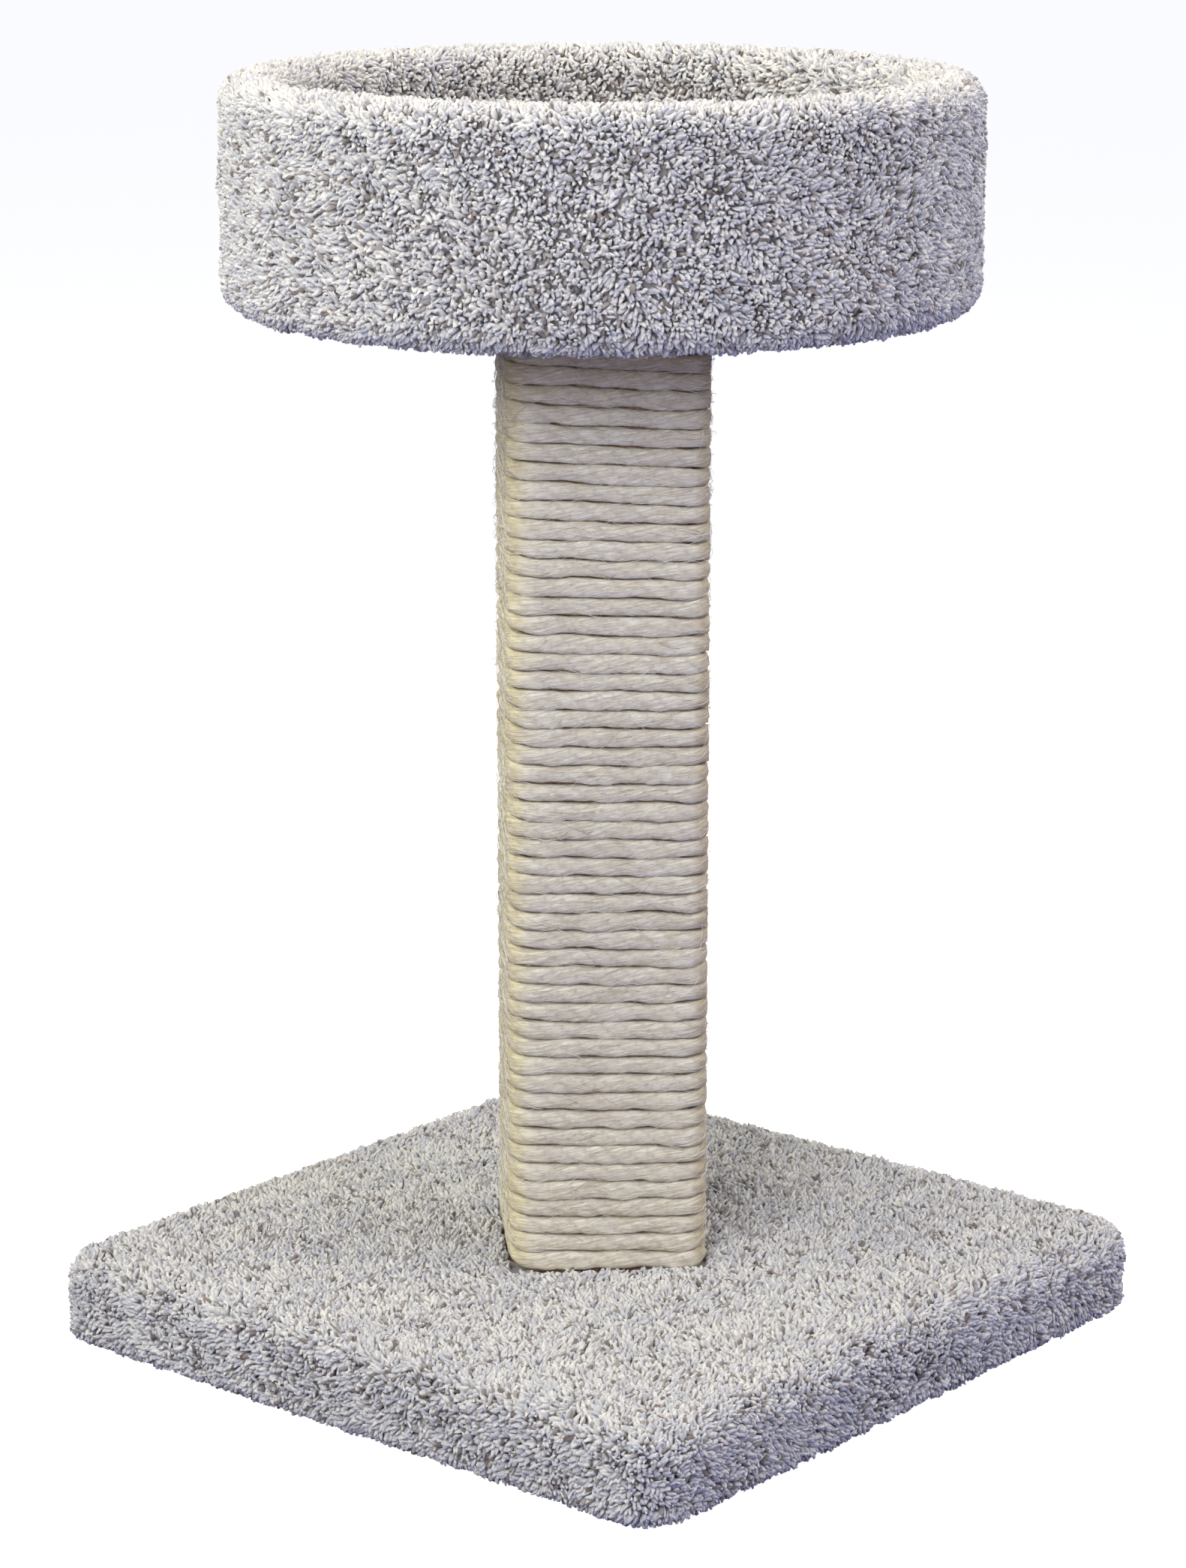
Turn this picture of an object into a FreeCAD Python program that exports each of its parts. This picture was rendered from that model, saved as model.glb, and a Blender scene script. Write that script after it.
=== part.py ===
"""Cat scratching post: a carpeted square base, a rope-wound square post and a round carpeted bed.

Frame: +Z up, the floor at z = 0, the origin at the centre of the base's underside.
The base's sides lie along X and Y, and the post stands turned by 45 degrees to them.
All lengths are in millimetres. Every piece is drawn where it sits in the finished post.
"""
import FreeCAD, Part
import math
import os

import Sketcher

# Driving sizes: name, value, what it is.
SIZES = (
    ("base_board_side", 410.0, "side of the two square base boards"),
    ("base_board_thick", 18.0, "thickness of each base board"),
    ("base_board_corner", 16.0, "plan radius of the base boards' corners"),
    ("carpet_thick", 12.0, "backing and standing pile together"),
    ("hem_thick", 3.0, "carpet pressed flat where it is folded under"),
    ("hem_round", 8.0, "rounding of the carpet where it turns under the base"),
    ("base_top_round", 18.0, "rounding of the carpet round the base's top edge"),
    ("base_hem_wide", 38.0, "how far the carpet is folded under the base"),
    ("pinch_thick", 4.0, "carpet squeezed under the post and the rope's first turn"),
    ("post_side", 89.0, "side of the square timber post"),
    ("post_edge", 6.4, "rounding of the timber's long edges"),
    ("post_length", 529.0, "length of the timber post"),
    ("post_turn", 45.0, "turn of the post against the base, in degrees"),
    ("rope_thick", 9.6, "diameter of the sisal rope"),
    ("rope_gap", 0.5, "space between one turn of rope and the next"),
    ("rope_clear", 0.25, "space between the rope and the timber"),
    ("tube_radius", 188.0, "outer radius of the bed's wall tube"),
    ("tube_wall", 8.0, "thickness of the wall tube"),
    ("tube_tall", 108.0, "height of the wall tube"),
    ("floor_board_thick", 18.0, "thickness of the bed's round floor board"),
    ("bowl_hem_wide", 38.0, "how far the carpet is folded under the bed"),
    ("bowl_low_round", 16.0, "rounding of the bed's lower carpet edge"),
    ("bowl_rim_round", 15.0, "rounding of each side of the bed's rim"),
    ("soft_clear", 0.3, "space between carpet and what stands inside it"),
    ("hole_clear", 0.15, "space between a fastener and its hole"),
    ("screw_head_wide", 8.4, "head diameter of the countersunk screws"),
    ("screw_head_tall", 3.0, "depth of a countersunk head"),
    ("screw_thick", 4.0, "shank diameter of the countersunk screws"),
    ("screw_tip", 5.0, "length of a screw's point"),
    ("tip_wide", 0.8, "width left at the very point of a screw or nail"),
    ("board_screw_ring", 215.0, "distance of the board screws from the centre"),
    ("board_screw_skin", 4.0, "wood left above a board screw's point"),
    ("floor_screw_long", 64.0, "length of the screws through the bed's floor"),
    ("floor_screw_ring", 24.0, "distance of those screws from the centre"),
    ("lag_thick", 8.0, "shank diameter of the lag screws"),
    ("lag_long", 90.0, "length of a lag screw under its head"),
    ("lag_head_wide", 15.0, "hexagonal head, across its corners"),
    ("lag_head_tall", 5.5, "height of the hexagonal head"),
    ("lag_ring", 32.0, "distance of the lag screws from the centre"),
    ("lag_sink", 0.8, "how far a head lies inside its counterbore"),
    ("washer_wide", 22.0, "diameter of a lag screw's washer"),
    ("washer_thick", 1.6, "thickness of the washer"),
    ("nail_head_wide", 7.0, "head diameter of the rope's nails"),
    ("nail_head_tall", 1.0, "thickness of a nail head"),
    ("nail_thick", 2.2, "shank diameter of the rope's nails"),
    ("nail_long", 28.0, "length of a nail under its head"),
    ("nail_from_end", 12.0, "distance of a nail from the rope's end"),
    ("staple_wide", 11.0, "width of a staple over its legs"),
    ("staple_wire", 1.2, "thickness of a staple's wire"),
    ("hem_staple_leg", 11.0, "length of the legs of the hems' staples"),
    ("wall_staple_leg", 22.0, "length of the legs of the wall tube's staples"),
    ("staple_sink", 0.5, "how far a staple's crown is pressed in"),
    ("base_staple_pitch", 180.0, "spacing of the staples along one side of the base"),
    ("base_staple_inset", 20.0, "distance of the base staples from the board's edge"),
    ("bowl_staple_inset", 20.0, "distance of the bed's hem staples from the tube's outside"),
)

# Plain counts.
SCREWS_PER_RING = 4
SIDES_OF_BASE = 4
STAPLES_PER_SIDE = 2
BOWL_HEM_STAPLES = 8
WALL_STAPLES = 6
HEX_SIDES = 6
TURNED_SIDES = 8
EDGE_FACETS = 2
CORNER_OF_BASE = "45"
ROPE_FACETS = 8
BENDS_PER_CORNER = 2
QUARTER_TURN = 90.0
FULL_TURN = 360.0
SAME_VOLUME = 1e-6

# Heights and radii that follow from the driving sizes.
BASE_HALF = "Sizes.base_board_side / 2"
LOWER_BOARD_BOTTOM = "Sizes.hem_thick"
UPPER_BOARD_BOTTOM = "(Sizes.hem_thick + Sizes.base_board_thick)"
BOARDS_TOP = "(Sizes.hem_thick + 2 * Sizes.base_board_thick)"
BASE_TOP = "(%s + Sizes.carpet_thick)" % BOARDS_TOP
POST_BOTTOM = "(%s + Sizes.pinch_thick)" % BOARDS_TOP
POST_TOP = "(%s + Sizes.post_length)" % POST_BOTTOM
BOWL_BOTTOM = "(%s - Sizes.hem_thick)" % POST_TOP
FLOOR_TOP = "(%s + Sizes.floor_board_thick)" % POST_TOP
TUBE_TOP = "(%s + Sizes.tube_tall)" % POST_TOP
RIM_TOP = "(%s + Sizes.carpet_thick)" % TUBE_TOP
TUBE_INSIDE = "(Sizes.tube_radius - Sizes.tube_wall)"
LINING_INSIDE = "(%s - Sizes.carpet_thick)" % TUBE_INSIDE
LAG_SEAT = "(Sizes.hem_thick + Sizes.lag_sink + Sizes.lag_head_tall + Sizes.washer_thick)"
ROPE_RADIUS = "Sizes.rope_thick / 2"
ROPE_LINE = "(Sizes.post_side / 2 + Sizes.rope_clear + %s)" % ROPE_RADIUS
ROPE_PITCH = "(Sizes.rope_thick + Sizes.rope_gap)"
ROPE_START = "(%s + Sizes.soft_clear + %s)" % (POST_BOTTOM, ROPE_RADIUS)
ROPE_ROOM = "(%s - Sizes.soft_clear - %s - %s)" % (POST_TOP, ROPE_RADIUS, ROPE_START)

# How a sketch numbers its axes, its origin and the two ends of a line.
X_AXIS_OF_SKETCH, Y_AXIS_OF_SKETCH = -1, -2
ORIGIN_OF_SKETCH = (-1, 1)
START, END = 1, 2

doc = FreeCAD.newDocument("CatScratchingPost")
sheet = doc.addObject("Spreadsheet::Sheet", "Sizes")
for row, (alias, amount, meaning) in enumerate(SIZES, start=1):
    sheet.set("A%d" % row, alias)
    sheet.set("B%d" % row, str(amount))
    sheet.set("C%d" % row, meaning)
    sheet.setAlias("B%d" % row, alias)
doc.recompute()


def number(expression):
    """The value of an expression on the sheet, as a plain number."""
    found = sheet.evalExpression(expression)
    return float(getattr(found, "Value", found))


# ---------------------------------------------------------------- sketches


def new_body(name):
    """An empty body whose label names the piece. It may hold several separate solids."""
    body = doc.addObject("PartDesign::Body", name)
    body.Label = name
    body.AllowCompound = True
    return body


def origin_part(body, role):
    """The body's own origin plane or axis of that role."""
    return next(o for o in body.Origin.OriginFeatures if o.Role == role)


def new_sketch(body, name, plane, offset=("0", "0", "0"), axis=(0, 0, 1), turn="0"):
    """A sketch on an origin plane, moved by offset and turned about axis in the plane's own axes."""
    sketch = body.newObject("Sketcher::SketchObject", name)
    sketch.AttachmentSupport = [(origin_part(body, plane), "")]
    sketch.MapMode = "FlatFace"
    places = [number(step) for step in offset]
    turned = FreeCAD.Rotation(FreeCAD.Vector(*axis), number(turn))
    sketch.AttachmentOffset = FreeCAD.Placement(FreeCAD.Vector(*places), turned)
    for letter, step in zip("xyz", offset):
        sketch.setExpression("AttachmentOffset.Base." + letter, step)
    if turn != "0":
        sketch.setExpression("AttachmentOffset.Rotation.Angle", turn)
    return sketch


def place(sketch, line, end, direction, expression):
    """Hold one end of a line at an expression's distance from the sketch's origin."""
    amount = number(expression)
    if abs(amount) < 1e-9:
        through = Y_AXIS_OF_SKETCH if direction == "X" else X_AXIS_OF_SKETCH
        sketch.addConstraint(Sketcher.Constraint("PointOnObject", line, end, through))
        return
    kind = "Distance" + direction
    if amount > 0:
        pair, bound = (*ORIGIN_OF_SKETCH, line, end), expression
    else:
        pair, bound = (line, end, *ORIGIN_OF_SKETCH), "-(%s)" % expression
    index = sketch.addConstraint(Sketcher.Constraint(kind, *pair, abs(amount)))
    sketch.setExpression("Constraints[%d]" % index, bound)


def draw_polygon(sketch, corners):
    """A closed outline of straight lines through corners, each an (x, y) pair of expressions."""
    spots = [FreeCAD.Vector(number(x), number(y), 0) for x, y in corners]
    first = sketch.GeometryCount
    count = len(spots)
    for i, spot in enumerate(spots):
        sketch.addGeometry(Part.LineSegment(spot, spots[(i + 1) % count]), False)
    for i, (x, y) in enumerate(corners):
        after = first + (i + 1) % count
        sketch.addConstraint(Sketcher.Constraint("Coincident", first + i, END, after, START))
        place(sketch, first + i, START, "X", x)
        place(sketch, first + i, START, "Y", y)


def draw_rounded(sketch, lines):
    """A closed outline of upright and level lines with rounded or sharp corners.

    Each line is (letter, place, rounding): an upright line has "X" and its x, a level one "Y"
    and its y, and rounding is the radius of the corner where the line ends, or None.
    """
    count = len(lines)
    corners = []
    for i in range(count):
        here, after = lines[i], lines[(i + 1) % count]
        x = number(here[1] if here[0] == "X" else after[1])
        y = number(here[1] if here[0] == "Y" else after[1])
        corners.append(FreeCAD.Vector(x, y, 0))
    ways = [(corners[i] - corners[i - 1]).normalize() for i in range(count)]
    radii = [number(line[2]) if line[2] else 0.0 for line in lines]
    for i in range(count):
        start = corners[i - 1] + ways[i] * radii[i - 1]
        end = corners[i] - ways[i] * radii[i]
        sketch.addGeometry(Part.LineSegment(start, end), False)
    for i, (letter, where, rounding) in enumerate(lines):
        after = (i + 1) % count
        level = "Vertical" if letter == "X" else "Horizontal"
        sketch.addConstraint(Sketcher.Constraint(level, i))
        place(sketch, i, START, letter, where)
        if not rounding:
            sketch.addConstraint(Sketcher.Constraint("Coincident", i, END, after, START))
            continue
        centre = corners[i] - ways[i] * radii[i] + ways[after] * radii[i]
        leaves = -ways[after]
        arrives = ways[i]
        left_turn = ways[i].cross(ways[after]).z > 0
        low, high = (leaves, arrives) if left_turn else (arrives, leaves)
        arc = sketch.addGeometry(
            Part.ArcOfCircle(
                Part.Circle(centre, FreeCAD.Vector(0, 0, 1), radii[i]),
                math.atan2(low.y, low.x),
                math.atan2(high.y, high.x),
            ),
            False,
        )
        near, far = (START, END) if left_turn else (END, START)
        sketch.addConstraint(Sketcher.Constraint("Tangent", i, END, arc, near))
        sketch.addConstraint(Sketcher.Constraint("Tangent", arc, far, after, START))
        index = sketch.addConstraint(Sketcher.Constraint("Radius", arc, radii[i]))
        sketch.setExpression("Constraints[%d]" % index, rounding)


def draw_square(sketch, half, corner):
    """A square centred on the sketch's origin, with rounded corners or, for None, sharp ones."""
    draw_rounded(
        sketch,
        (
            ("Y", "-(%s)" % half, corner),
            ("X", half, corner),
            ("Y", half, corner),
            ("X", "-(%s)" % half, corner),
        ),
    )


def draw_regular(sketch, radius, sides):
    """A regular outline of that many sides about the sketch's origin, its corners at the radius."""
    corners = []
    for i in range(sides):
        angle = FULL_TURN * i / sides
        corners.append(("%s * cos(%g deg)" % (radius, angle), "%s * sin(%g deg)" % (radius, angle)))
    draw_polygon(sketch, corners)


def quarter_round(radius, facets):
    """A quarter round in flat steps, as (inwards, upwards) pairs that start level and end upright.

    inwards is the distance from the side that it ends on, and upwards that from the face that
    it starts on.
    """
    steps = []
    for i in range(facets + 1):
        angle = QUARTER_TURN * i / facets
        inwards = "%s * (1 - sin(%g deg))" % (radius, angle)
        upwards = "%s * (1 - cos(%g deg))" % (radius, angle)
        steps.append((inwards, upwards))
    return steps


# ---------------------------------------------------------------- features


def checked(body, feature, adds):
    """Recompute, make the feature the body's tip and test that it added or took material."""
    before = body.Tip.Shape.Volume if body.Tip and not body.Tip.Shape.isNull() else 0.0
    body.Tip = feature
    doc.recompute()
    change = feature.Shape.Volume - before
    if (change > 0) is not adds:
        raise RuntimeError("%s changed %s by %.3f" % (feature.Label, body.Label, change))
    return feature


def extrude(body, sketch, length, cut=False, both_ways=False, backwards=False):
    """Pad the sketch, or cut it as a pocket."""
    kind = "Pocket" if cut else "Pad"
    before = body.Tip
    feature = body.newObject("PartDesign::" + kind, sketch.Name + kind)
    body.Tip = before
    feature.Profile = sketch
    feature.Length = number(length)
    feature.setExpression("Length", length)
    feature.SideType = "Symmetric" if both_ways else "One side"
    feature.Reversed = backwards
    return checked(body, feature, adds=not cut)


def turn_round(body, sketch):
    """Revolve the sketch about its own upright axis."""
    before = body.Tip
    feature = body.newObject("PartDesign::Revolution", sketch.Name + "Revolution")
    body.Tip = before
    feature.Profile = sketch
    feature.ReferenceAxis = (sketch, ["V_Axis"])
    feature.Angle = FULL_TURN
    return checked(body, feature, adds=True)


def repeat_round(body, features, count, adds):
    """Repeat the features evenly about the body's upright axis."""
    before = body.Tip
    pattern = body.newObject("PartDesign::PolarPattern", features[0].Name + "Ring")
    body.Tip = before
    pattern.Originals = features
    pattern.Axis = (origin_part(body, "Z_Axis"), [""])
    pattern.Angle = FULL_TURN
    pattern.Occurrences = count
    return checked(body, pattern, adds)


def loft_through(body, name, sketches, cut=False):
    """Join closed outlines that lie one behind the other by flat or conical faces."""
    before = body.Tip
    kind = "PartDesign::SubtractiveLoft" if cut else "PartDesign::AdditiveLoft"
    feature = body.newObject(kind, name + "Loft")
    body.Tip = before
    feature.Profile = sketches[0]
    feature.Sections = [(sketch, [""]) for sketch in sketches[1:]]
    feature.Ruled = True
    return checked(body, feature, adds=not cut)


# ---------------------------------------------------------------- fasteners


def on_ring(ring, angle="0"):
    """Where a fastener of that ring stands, at an angle in degrees, as (x, y)."""
    return "%s * cos(%s * 1 deg)" % (ring, angle), "%s * sin(%s * 1 deg)" % (ring, angle)


def turned(body, name, spot, stages, cut=False):
    """An upright turned shape, or the hole for one, with flat sides in place of a round one.

    spot is its (x, y), and each stage is a (radius, height) that its side passes through.
    """
    sketches = []
    for i, (radius, height) in enumerate(stages):
        sketch = new_sketch(body, name + "ABCDEF"[i], "XY_Plane", offset=(*spot, height))
        draw_regular(sketch, "(%s)" % radius, TURNED_SIDES)
        sketches.append(sketch)
    return loft_through(body, name, sketches, cut)


def countersunk(body, name, spot, face, length, up, cut=False):
    """A countersunk screw with its head's face at a height, or the hole for one.

    up is 1 where the point is above the head and -1 where it is below.
    """
    clear = "Sizes.hole_clear" if cut else "0"
    stages = (
        ("Sizes.screw_head_wide / 2 + %s" % clear, "0"),
        ("Sizes.screw_thick / 2 + %s" % clear, "Sizes.screw_head_tall"),
        ("Sizes.screw_thick / 2 + %s" % clear, "%s - Sizes.screw_tip" % length),
        ("Sizes.tip_wide / 2 + %s" % clear, "%s + %s" % (length, clear)),
    )
    placed = [(radius, "%s + %d * (%s)" % (face, up, height)) for radius, height in stages]
    return turned(body, name, spot, placed, cut)


def staple_outline(sketch, along, leg, clear="0", outward="0"):
    """The U of a staple, its crown's face at the sketch's level axis and its legs pointing up.

    along is the crown's middle on the level axis. outward carries the crown's side of a slot
    past the surface that the staple is pressed into.
    """
    wide = "(Sizes.staple_wide / 2 + %s)" % clear
    inner = "(Sizes.staple_wide / 2 - Sizes.staple_wire - %s)" % clear
    crown = "Sizes.staple_wire + %s" % clear
    tips = "%s + %s" % (leg, clear)
    draw_polygon(
        sketch,
        (
            ("%s - %s" % (along, wide), "-(%s)" % outward),
            ("%s + %s" % (along, wide), "-(%s)" % outward),
            ("%s + %s" % (along, wide), tips),
            ("%s + %s" % (along, inner), tips),
            ("%s + %s" % (along, inner), crown),
            ("%s - %s" % (along, inner), crown),
            ("%s - %s" % (along, inner), tips),
            ("%s - %s" % (along, wide), tips),
        ),
    )


SLOT_WIRE = "Sizes.staple_wire + 2 * Sizes.hole_clear"
BASE_STAPLE_LINE = "(%s - Sizes.base_staple_inset)" % BASE_HALF
BOWL_STAPLE_LINE = "(Sizes.tube_radius - Sizes.bowl_staple_inset)"
WALL_STAPLE_HEIGHT = "(%s + Sizes.floor_board_thick / 2)" % POST_TOP


def base_staples(body, slots):
    """The staples under the base's four sides, or the slots that they are driven into."""
    clear, wire, outward = staple_room(slots)
    sketch = new_sketch(
        body, "HemStaples", "XZ_Plane", offset=("0", "Sizes.staple_sink", BASE_STAPLE_LINE)
    )
    for i in range(STAPLES_PER_SIDE):
        steps = i - (STAPLES_PER_SIDE - 1) / 2
        along = "%g * Sizes.base_staple_pitch" % steps
        staple_outline(sketch, along, "Sizes.hem_staple_leg", clear, outward)
    one_side = extrude(body, sketch, wire, cut=slots, both_ways=True)
    repeat_round(body, [one_side], SIDES_OF_BASE, adds=not slots)


def bowl_staples(body, slots):
    """The staples under the bed's hem, or the slots that they are driven into."""
    clear, wire, outward = staple_room(slots)
    height = "%s + Sizes.staple_sink" % BOWL_BOTTOM
    sketch = new_sketch(body, "HemStaple", "XZ_Plane", offset=("0", height, BOWL_STAPLE_LINE))
    staple_outline(sketch, "0", "Sizes.hem_staple_leg", clear, outward)
    one = extrude(body, sketch, wire, cut=slots, both_ways=True)
    repeat_round(body, [one], BOWL_HEM_STAPLES, adds=not slots)


def wall_staples(body, slots):
    """The staples through the wall tube into the floor board's edge, or their slots."""
    clear, wire, outward = staple_room(slots)
    inside = "Sizes.staple_sink - Sizes.tube_radius"
    sketch = new_sketch(body, "WallStaple", "XY_Plane", offset=("0", inside, WALL_STAPLE_HEIGHT))
    staple_outline(sketch, "0", "Sizes.wall_staple_leg", clear, outward)
    one = extrude(body, sketch, wire, cut=slots, both_ways=True)
    repeat_round(body, [one], WALL_STAPLES, adds=not slots)


def staple_room(slots):
    """Clearance, thickness and outward reach of a staple, or of the slot for one."""
    if slots:
        return "Sizes.hole_clear", SLOT_WIRE, "(2 * Sizes.staple_sink)"
    return "0", "Sizes.staple_wire", "0"


def board_screws(body, cut):
    """The screws that join the base boards from below, or their holes."""
    spot = on_ring("Sizes.board_screw_ring", CORNER_OF_BASE)
    length = "(2 * Sizes.base_board_thick - Sizes.board_screw_skin)"
    one = countersunk(body, "BoardScrew", spot, LOWER_BOARD_BOTTOM, length, up=1, cut=cut)
    repeat_round(body, [one], SCREWS_PER_RING, adds=not cut)


def floor_screws(body, cut):
    """The screws from the bed's floor down into the post's end, or their holes."""
    spot = on_ring("Sizes.floor_screw_ring")
    one = countersunk(body, "FloorScrew", spot, FLOOR_TOP, "Sizes.floor_screw_long", -1, cut)
    repeat_round(body, [one], SCREWS_PER_RING, adds=not cut)


def lag_stages(start, clear="0"):
    """The side of a lag screw's shank and point from a height upwards, widened by clear."""
    side = "Sizes.lag_thick / 2 + %s" % clear
    return (
        (side, start),
        (side, "%s + Sizes.lag_long - Sizes.lag_thick" % LAG_SEAT),
        ("Sizes.tip_wide / 2 + %s" % clear, "%s + Sizes.lag_long + %s" % (LAG_SEAT, clear)),
    )


def lag_holes(body):
    """The holes of the lag screws' shanks."""
    stages = lag_stages(LAG_SEAT, "Sizes.hole_clear")
    one = turned(body, "LagHole", on_ring("Sizes.lag_ring"), stages, cut=True)
    repeat_round(body, [one], SCREWS_PER_RING, adds=False)


# ---------------------------------------------------------------- base


def make_base_board_lower():
    """The lower board, with counterbores for the lag screws and countersinks for its own screws."""
    body = new_body("base_board_lower")
    plan = new_sketch(body, "Plan", "XY_Plane", offset=("0", "0", LOWER_BOARD_BOTTOM))
    draw_square(plan, BASE_HALF, "Sizes.base_board_corner")
    extrude(body, plan, "Sizes.base_board_thick")
    board_screws(body, cut=True)
    wide = "Sizes.washer_wide / 2 + Sizes.hole_clear"
    stages = ((wide, LOWER_BOARD_BOTTOM), (wide, LAG_SEAT))
    one = turned(body, "Counterbore", on_ring("Sizes.lag_ring"), stages, cut=True)
    repeat_round(body, [one], SCREWS_PER_RING, adds=False)
    lag_holes(body)
    base_staples(body, slots=True)
    return body


def make_base_board_upper():
    """The upper board, screwed to the lower one and passed by the lag screws."""
    body = new_body("base_board_upper")
    plan = new_sketch(body, "Plan", "XY_Plane", offset=("0", "0", UPPER_BOARD_BOTTOM))
    draw_square(plan, BASE_HALF, "Sizes.base_board_corner")
    extrude(body, plan, "Sizes.base_board_thick")
    board_screws(body, cut=True)
    lag_holes(body)
    return body


def make_base_board_screws():
    """Countersunk screws, one near each corner of the base."""
    body = new_body("base_board_screws")
    board_screws(body, cut=False)
    return body


def make_base_carpet():
    """Carpet over the base's top and sides, folded under as a hem, with the wound post's seat."""
    body = new_body("base_carpet")
    outer_half = "(%s + Sizes.carpet_thick)" % BASE_HALF
    inner_half = "(%s + Sizes.soft_clear)" % BASE_HALF
    hem_half = "(%s - Sizes.base_hem_wide)" % BASE_HALF
    low = quarter_round("Sizes.hem_round", EDGE_FACETS)
    top = [
        (inwards, "%s - %s" % (BASE_TOP, down))
        for inwards, down in reversed(quarter_round("Sizes.base_top_round", EDGE_FACETS))
    ]
    levels = []
    for i, (inwards, height) in enumerate(low + top):
        level = new_sketch(body, "Level%d" % i, "XY_Plane", offset=("0", "0", height))
        corner = "Sizes.base_board_corner + Sizes.carpet_thick - %s" % inwards
        draw_square(level, "(%s - %s)" % (outer_half, inwards), corner)
        levels.append(level)
    loft_through(body, "Outside", levels)
    opening = new_sketch(body, "HemOpening", "XY_Plane")
    draw_square(opening, hem_half, None)
    extrude(body, opening, "Sizes.hem_thick", cut=True, backwards=True)
    room = new_sketch(body, "BoardRoom", "XY_Plane", offset=("0", "0", LOWER_BOARD_BOTTOM))
    draw_square(room, inner_half, "Sizes.base_board_corner + Sizes.soft_clear")
    extrude(body, room, "2 * Sizes.base_board_thick", cut=True, backwards=True)
    seat = new_sketch(
        body, "PostSeat", "XY_Plane", offset=("0", "0", BASE_TOP), turn="Sizes.post_turn"
    )
    draw_square(seat, "(%s + %s + Sizes.soft_clear)" % (ROPE_LINE, ROPE_RADIUS), None)
    extrude(body, seat, "Sizes.carpet_thick - Sizes.pinch_thick", cut=True)
    (across, height), _ = nail_places()
    head_half = "Sizes.nail_head_wide / 2 + Sizes.soft_clear"
    head = nail_section(body, "NailHeadRoom", across, height, ROPE_LINE, head_half)
    head_room = "%s + Sizes.rope_clear + Sizes.nail_head_tall + Sizes.soft_clear" % ROPE_RADIUS
    extrude(body, head, head_room, cut=True)
    lag_holes(body)
    base_staples(body, slots=True)
    return body


def make_base_hem_staples():
    """Staples that hold the base carpet's hem to the lower board."""
    body = new_body("base_hem_staples")
    base_staples(body, slots=False)
    return body


# ---------------------------------------------------------------- post


def make_post_core():
    """The square timber post, bored for the lag screws below and the bed's screws above."""
    body = new_body("post_core")
    plan = new_sketch(
        body, "Plan", "XY_Plane", offset=("0", "0", POST_BOTTOM), turn="Sizes.post_turn"
    )
    draw_square(plan, "Sizes.post_side / 2", "Sizes.post_edge")
    extrude(body, plan, "Sizes.post_length")
    lag_holes(body)
    floor_screws(body, cut=True)
    first, last = nail_places()
    for name, across, height in (("LowerNail", *first), ("UpperNail", *last)):
        rope_nail(body, name, across, height, cut=True)
    return body


def make_post_lag_screws():
    """Hexagon-headed lag screws from under the base up into the post."""
    body = new_body("post_lag_screws")
    spot = on_ring("Sizes.lag_ring")
    head_bottom = "%s - Sizes.washer_thick - Sizes.lag_head_tall" % LAG_SEAT
    shank = turned(body, "Shank", spot, lag_stages(head_bottom))
    head = new_sketch(body, "Head", "XY_Plane", offset=(*spot, head_bottom))
    draw_regular(head, "Sizes.lag_head_wide / 2", HEX_SIDES)
    hexagon = extrude(body, head, "Sizes.lag_head_tall")
    repeat_round(body, [shank, hexagon], SCREWS_PER_RING, adds=True)
    return body


def make_post_lag_washers():
    """A flat washer under each lag screw's head, at the bottom of its counterbore."""
    body = new_body("post_lag_washers")
    spot = on_ring("Sizes.lag_ring")
    bottom = "%s - Sizes.washer_thick" % LAG_SEAT
    ring = new_sketch(body, "Washer", "XY_Plane", offset=(*spot, bottom))
    draw_regular(ring, "Sizes.washer_wide / 2", TURNED_SIDES)
    draw_regular(ring, "(Sizes.lag_thick / 2 + Sizes.hole_clear)", TURNED_SIDES)
    one = extrude(body, ring, "Sizes.washer_thick")
    repeat_round(body, [one], SCREWS_PER_RING, adds=True)
    return body


# ---------------------------------------------------------------- rope


def rope_turns():
    """How many whole turns fit between the carpet under the post and the bed's floor board."""
    return math.floor(number(ROPE_ROOM) / number(ROPE_PITCH))


def rope_route():
    """The rope's middle line round the post, seen in the post's own axes.

    It starts at the middle of the far side and climbs steadily, clockwise as seen from above.
    Each corner of the timber is passed in a few equal bends about its rounded edge.
    """
    reach = number(ROPE_LINE)
    bend_radius = number("Sizes.post_edge + Sizes.rope_clear + " + ROPE_RADIUS)
    share = math.pi / 2 / BENDS_PER_CORNER
    middle = reach - bend_radius
    out = bend_radius / math.cos(share / 2)
    loop = []
    for corner in range(SIDES_OF_BASE):
        first = math.pi / 2 - corner * math.pi / 2
        toward = first - math.pi / 4
        centre = (math.copysign(middle, math.cos(toward)), math.copysign(middle, math.sin(toward)))
        for bend in range(BENDS_PER_CORNER):
            angle = first - (bend + 0.5) * share
            loop.append((centre[0] + out * math.cos(angle), centre[1] + out * math.sin(angle)))
    seam = (0.0, reach)
    plan = [seam] + loop * rope_turns() + [seam]
    once_round = [seam] + loop + [seam]
    around = sum(math.dist(a, b) for a, b in zip(once_round, once_round[1:]))
    climb = number(ROPE_PITCH) / around
    height = number(ROPE_START)
    points = [FreeCAD.Vector(*seam, height)]
    for a, b in zip(plan, plan[1:]):
        height += climb * math.dist(a, b)
        points.append(FreeCAD.Vector(*b, height))
    return points


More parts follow.
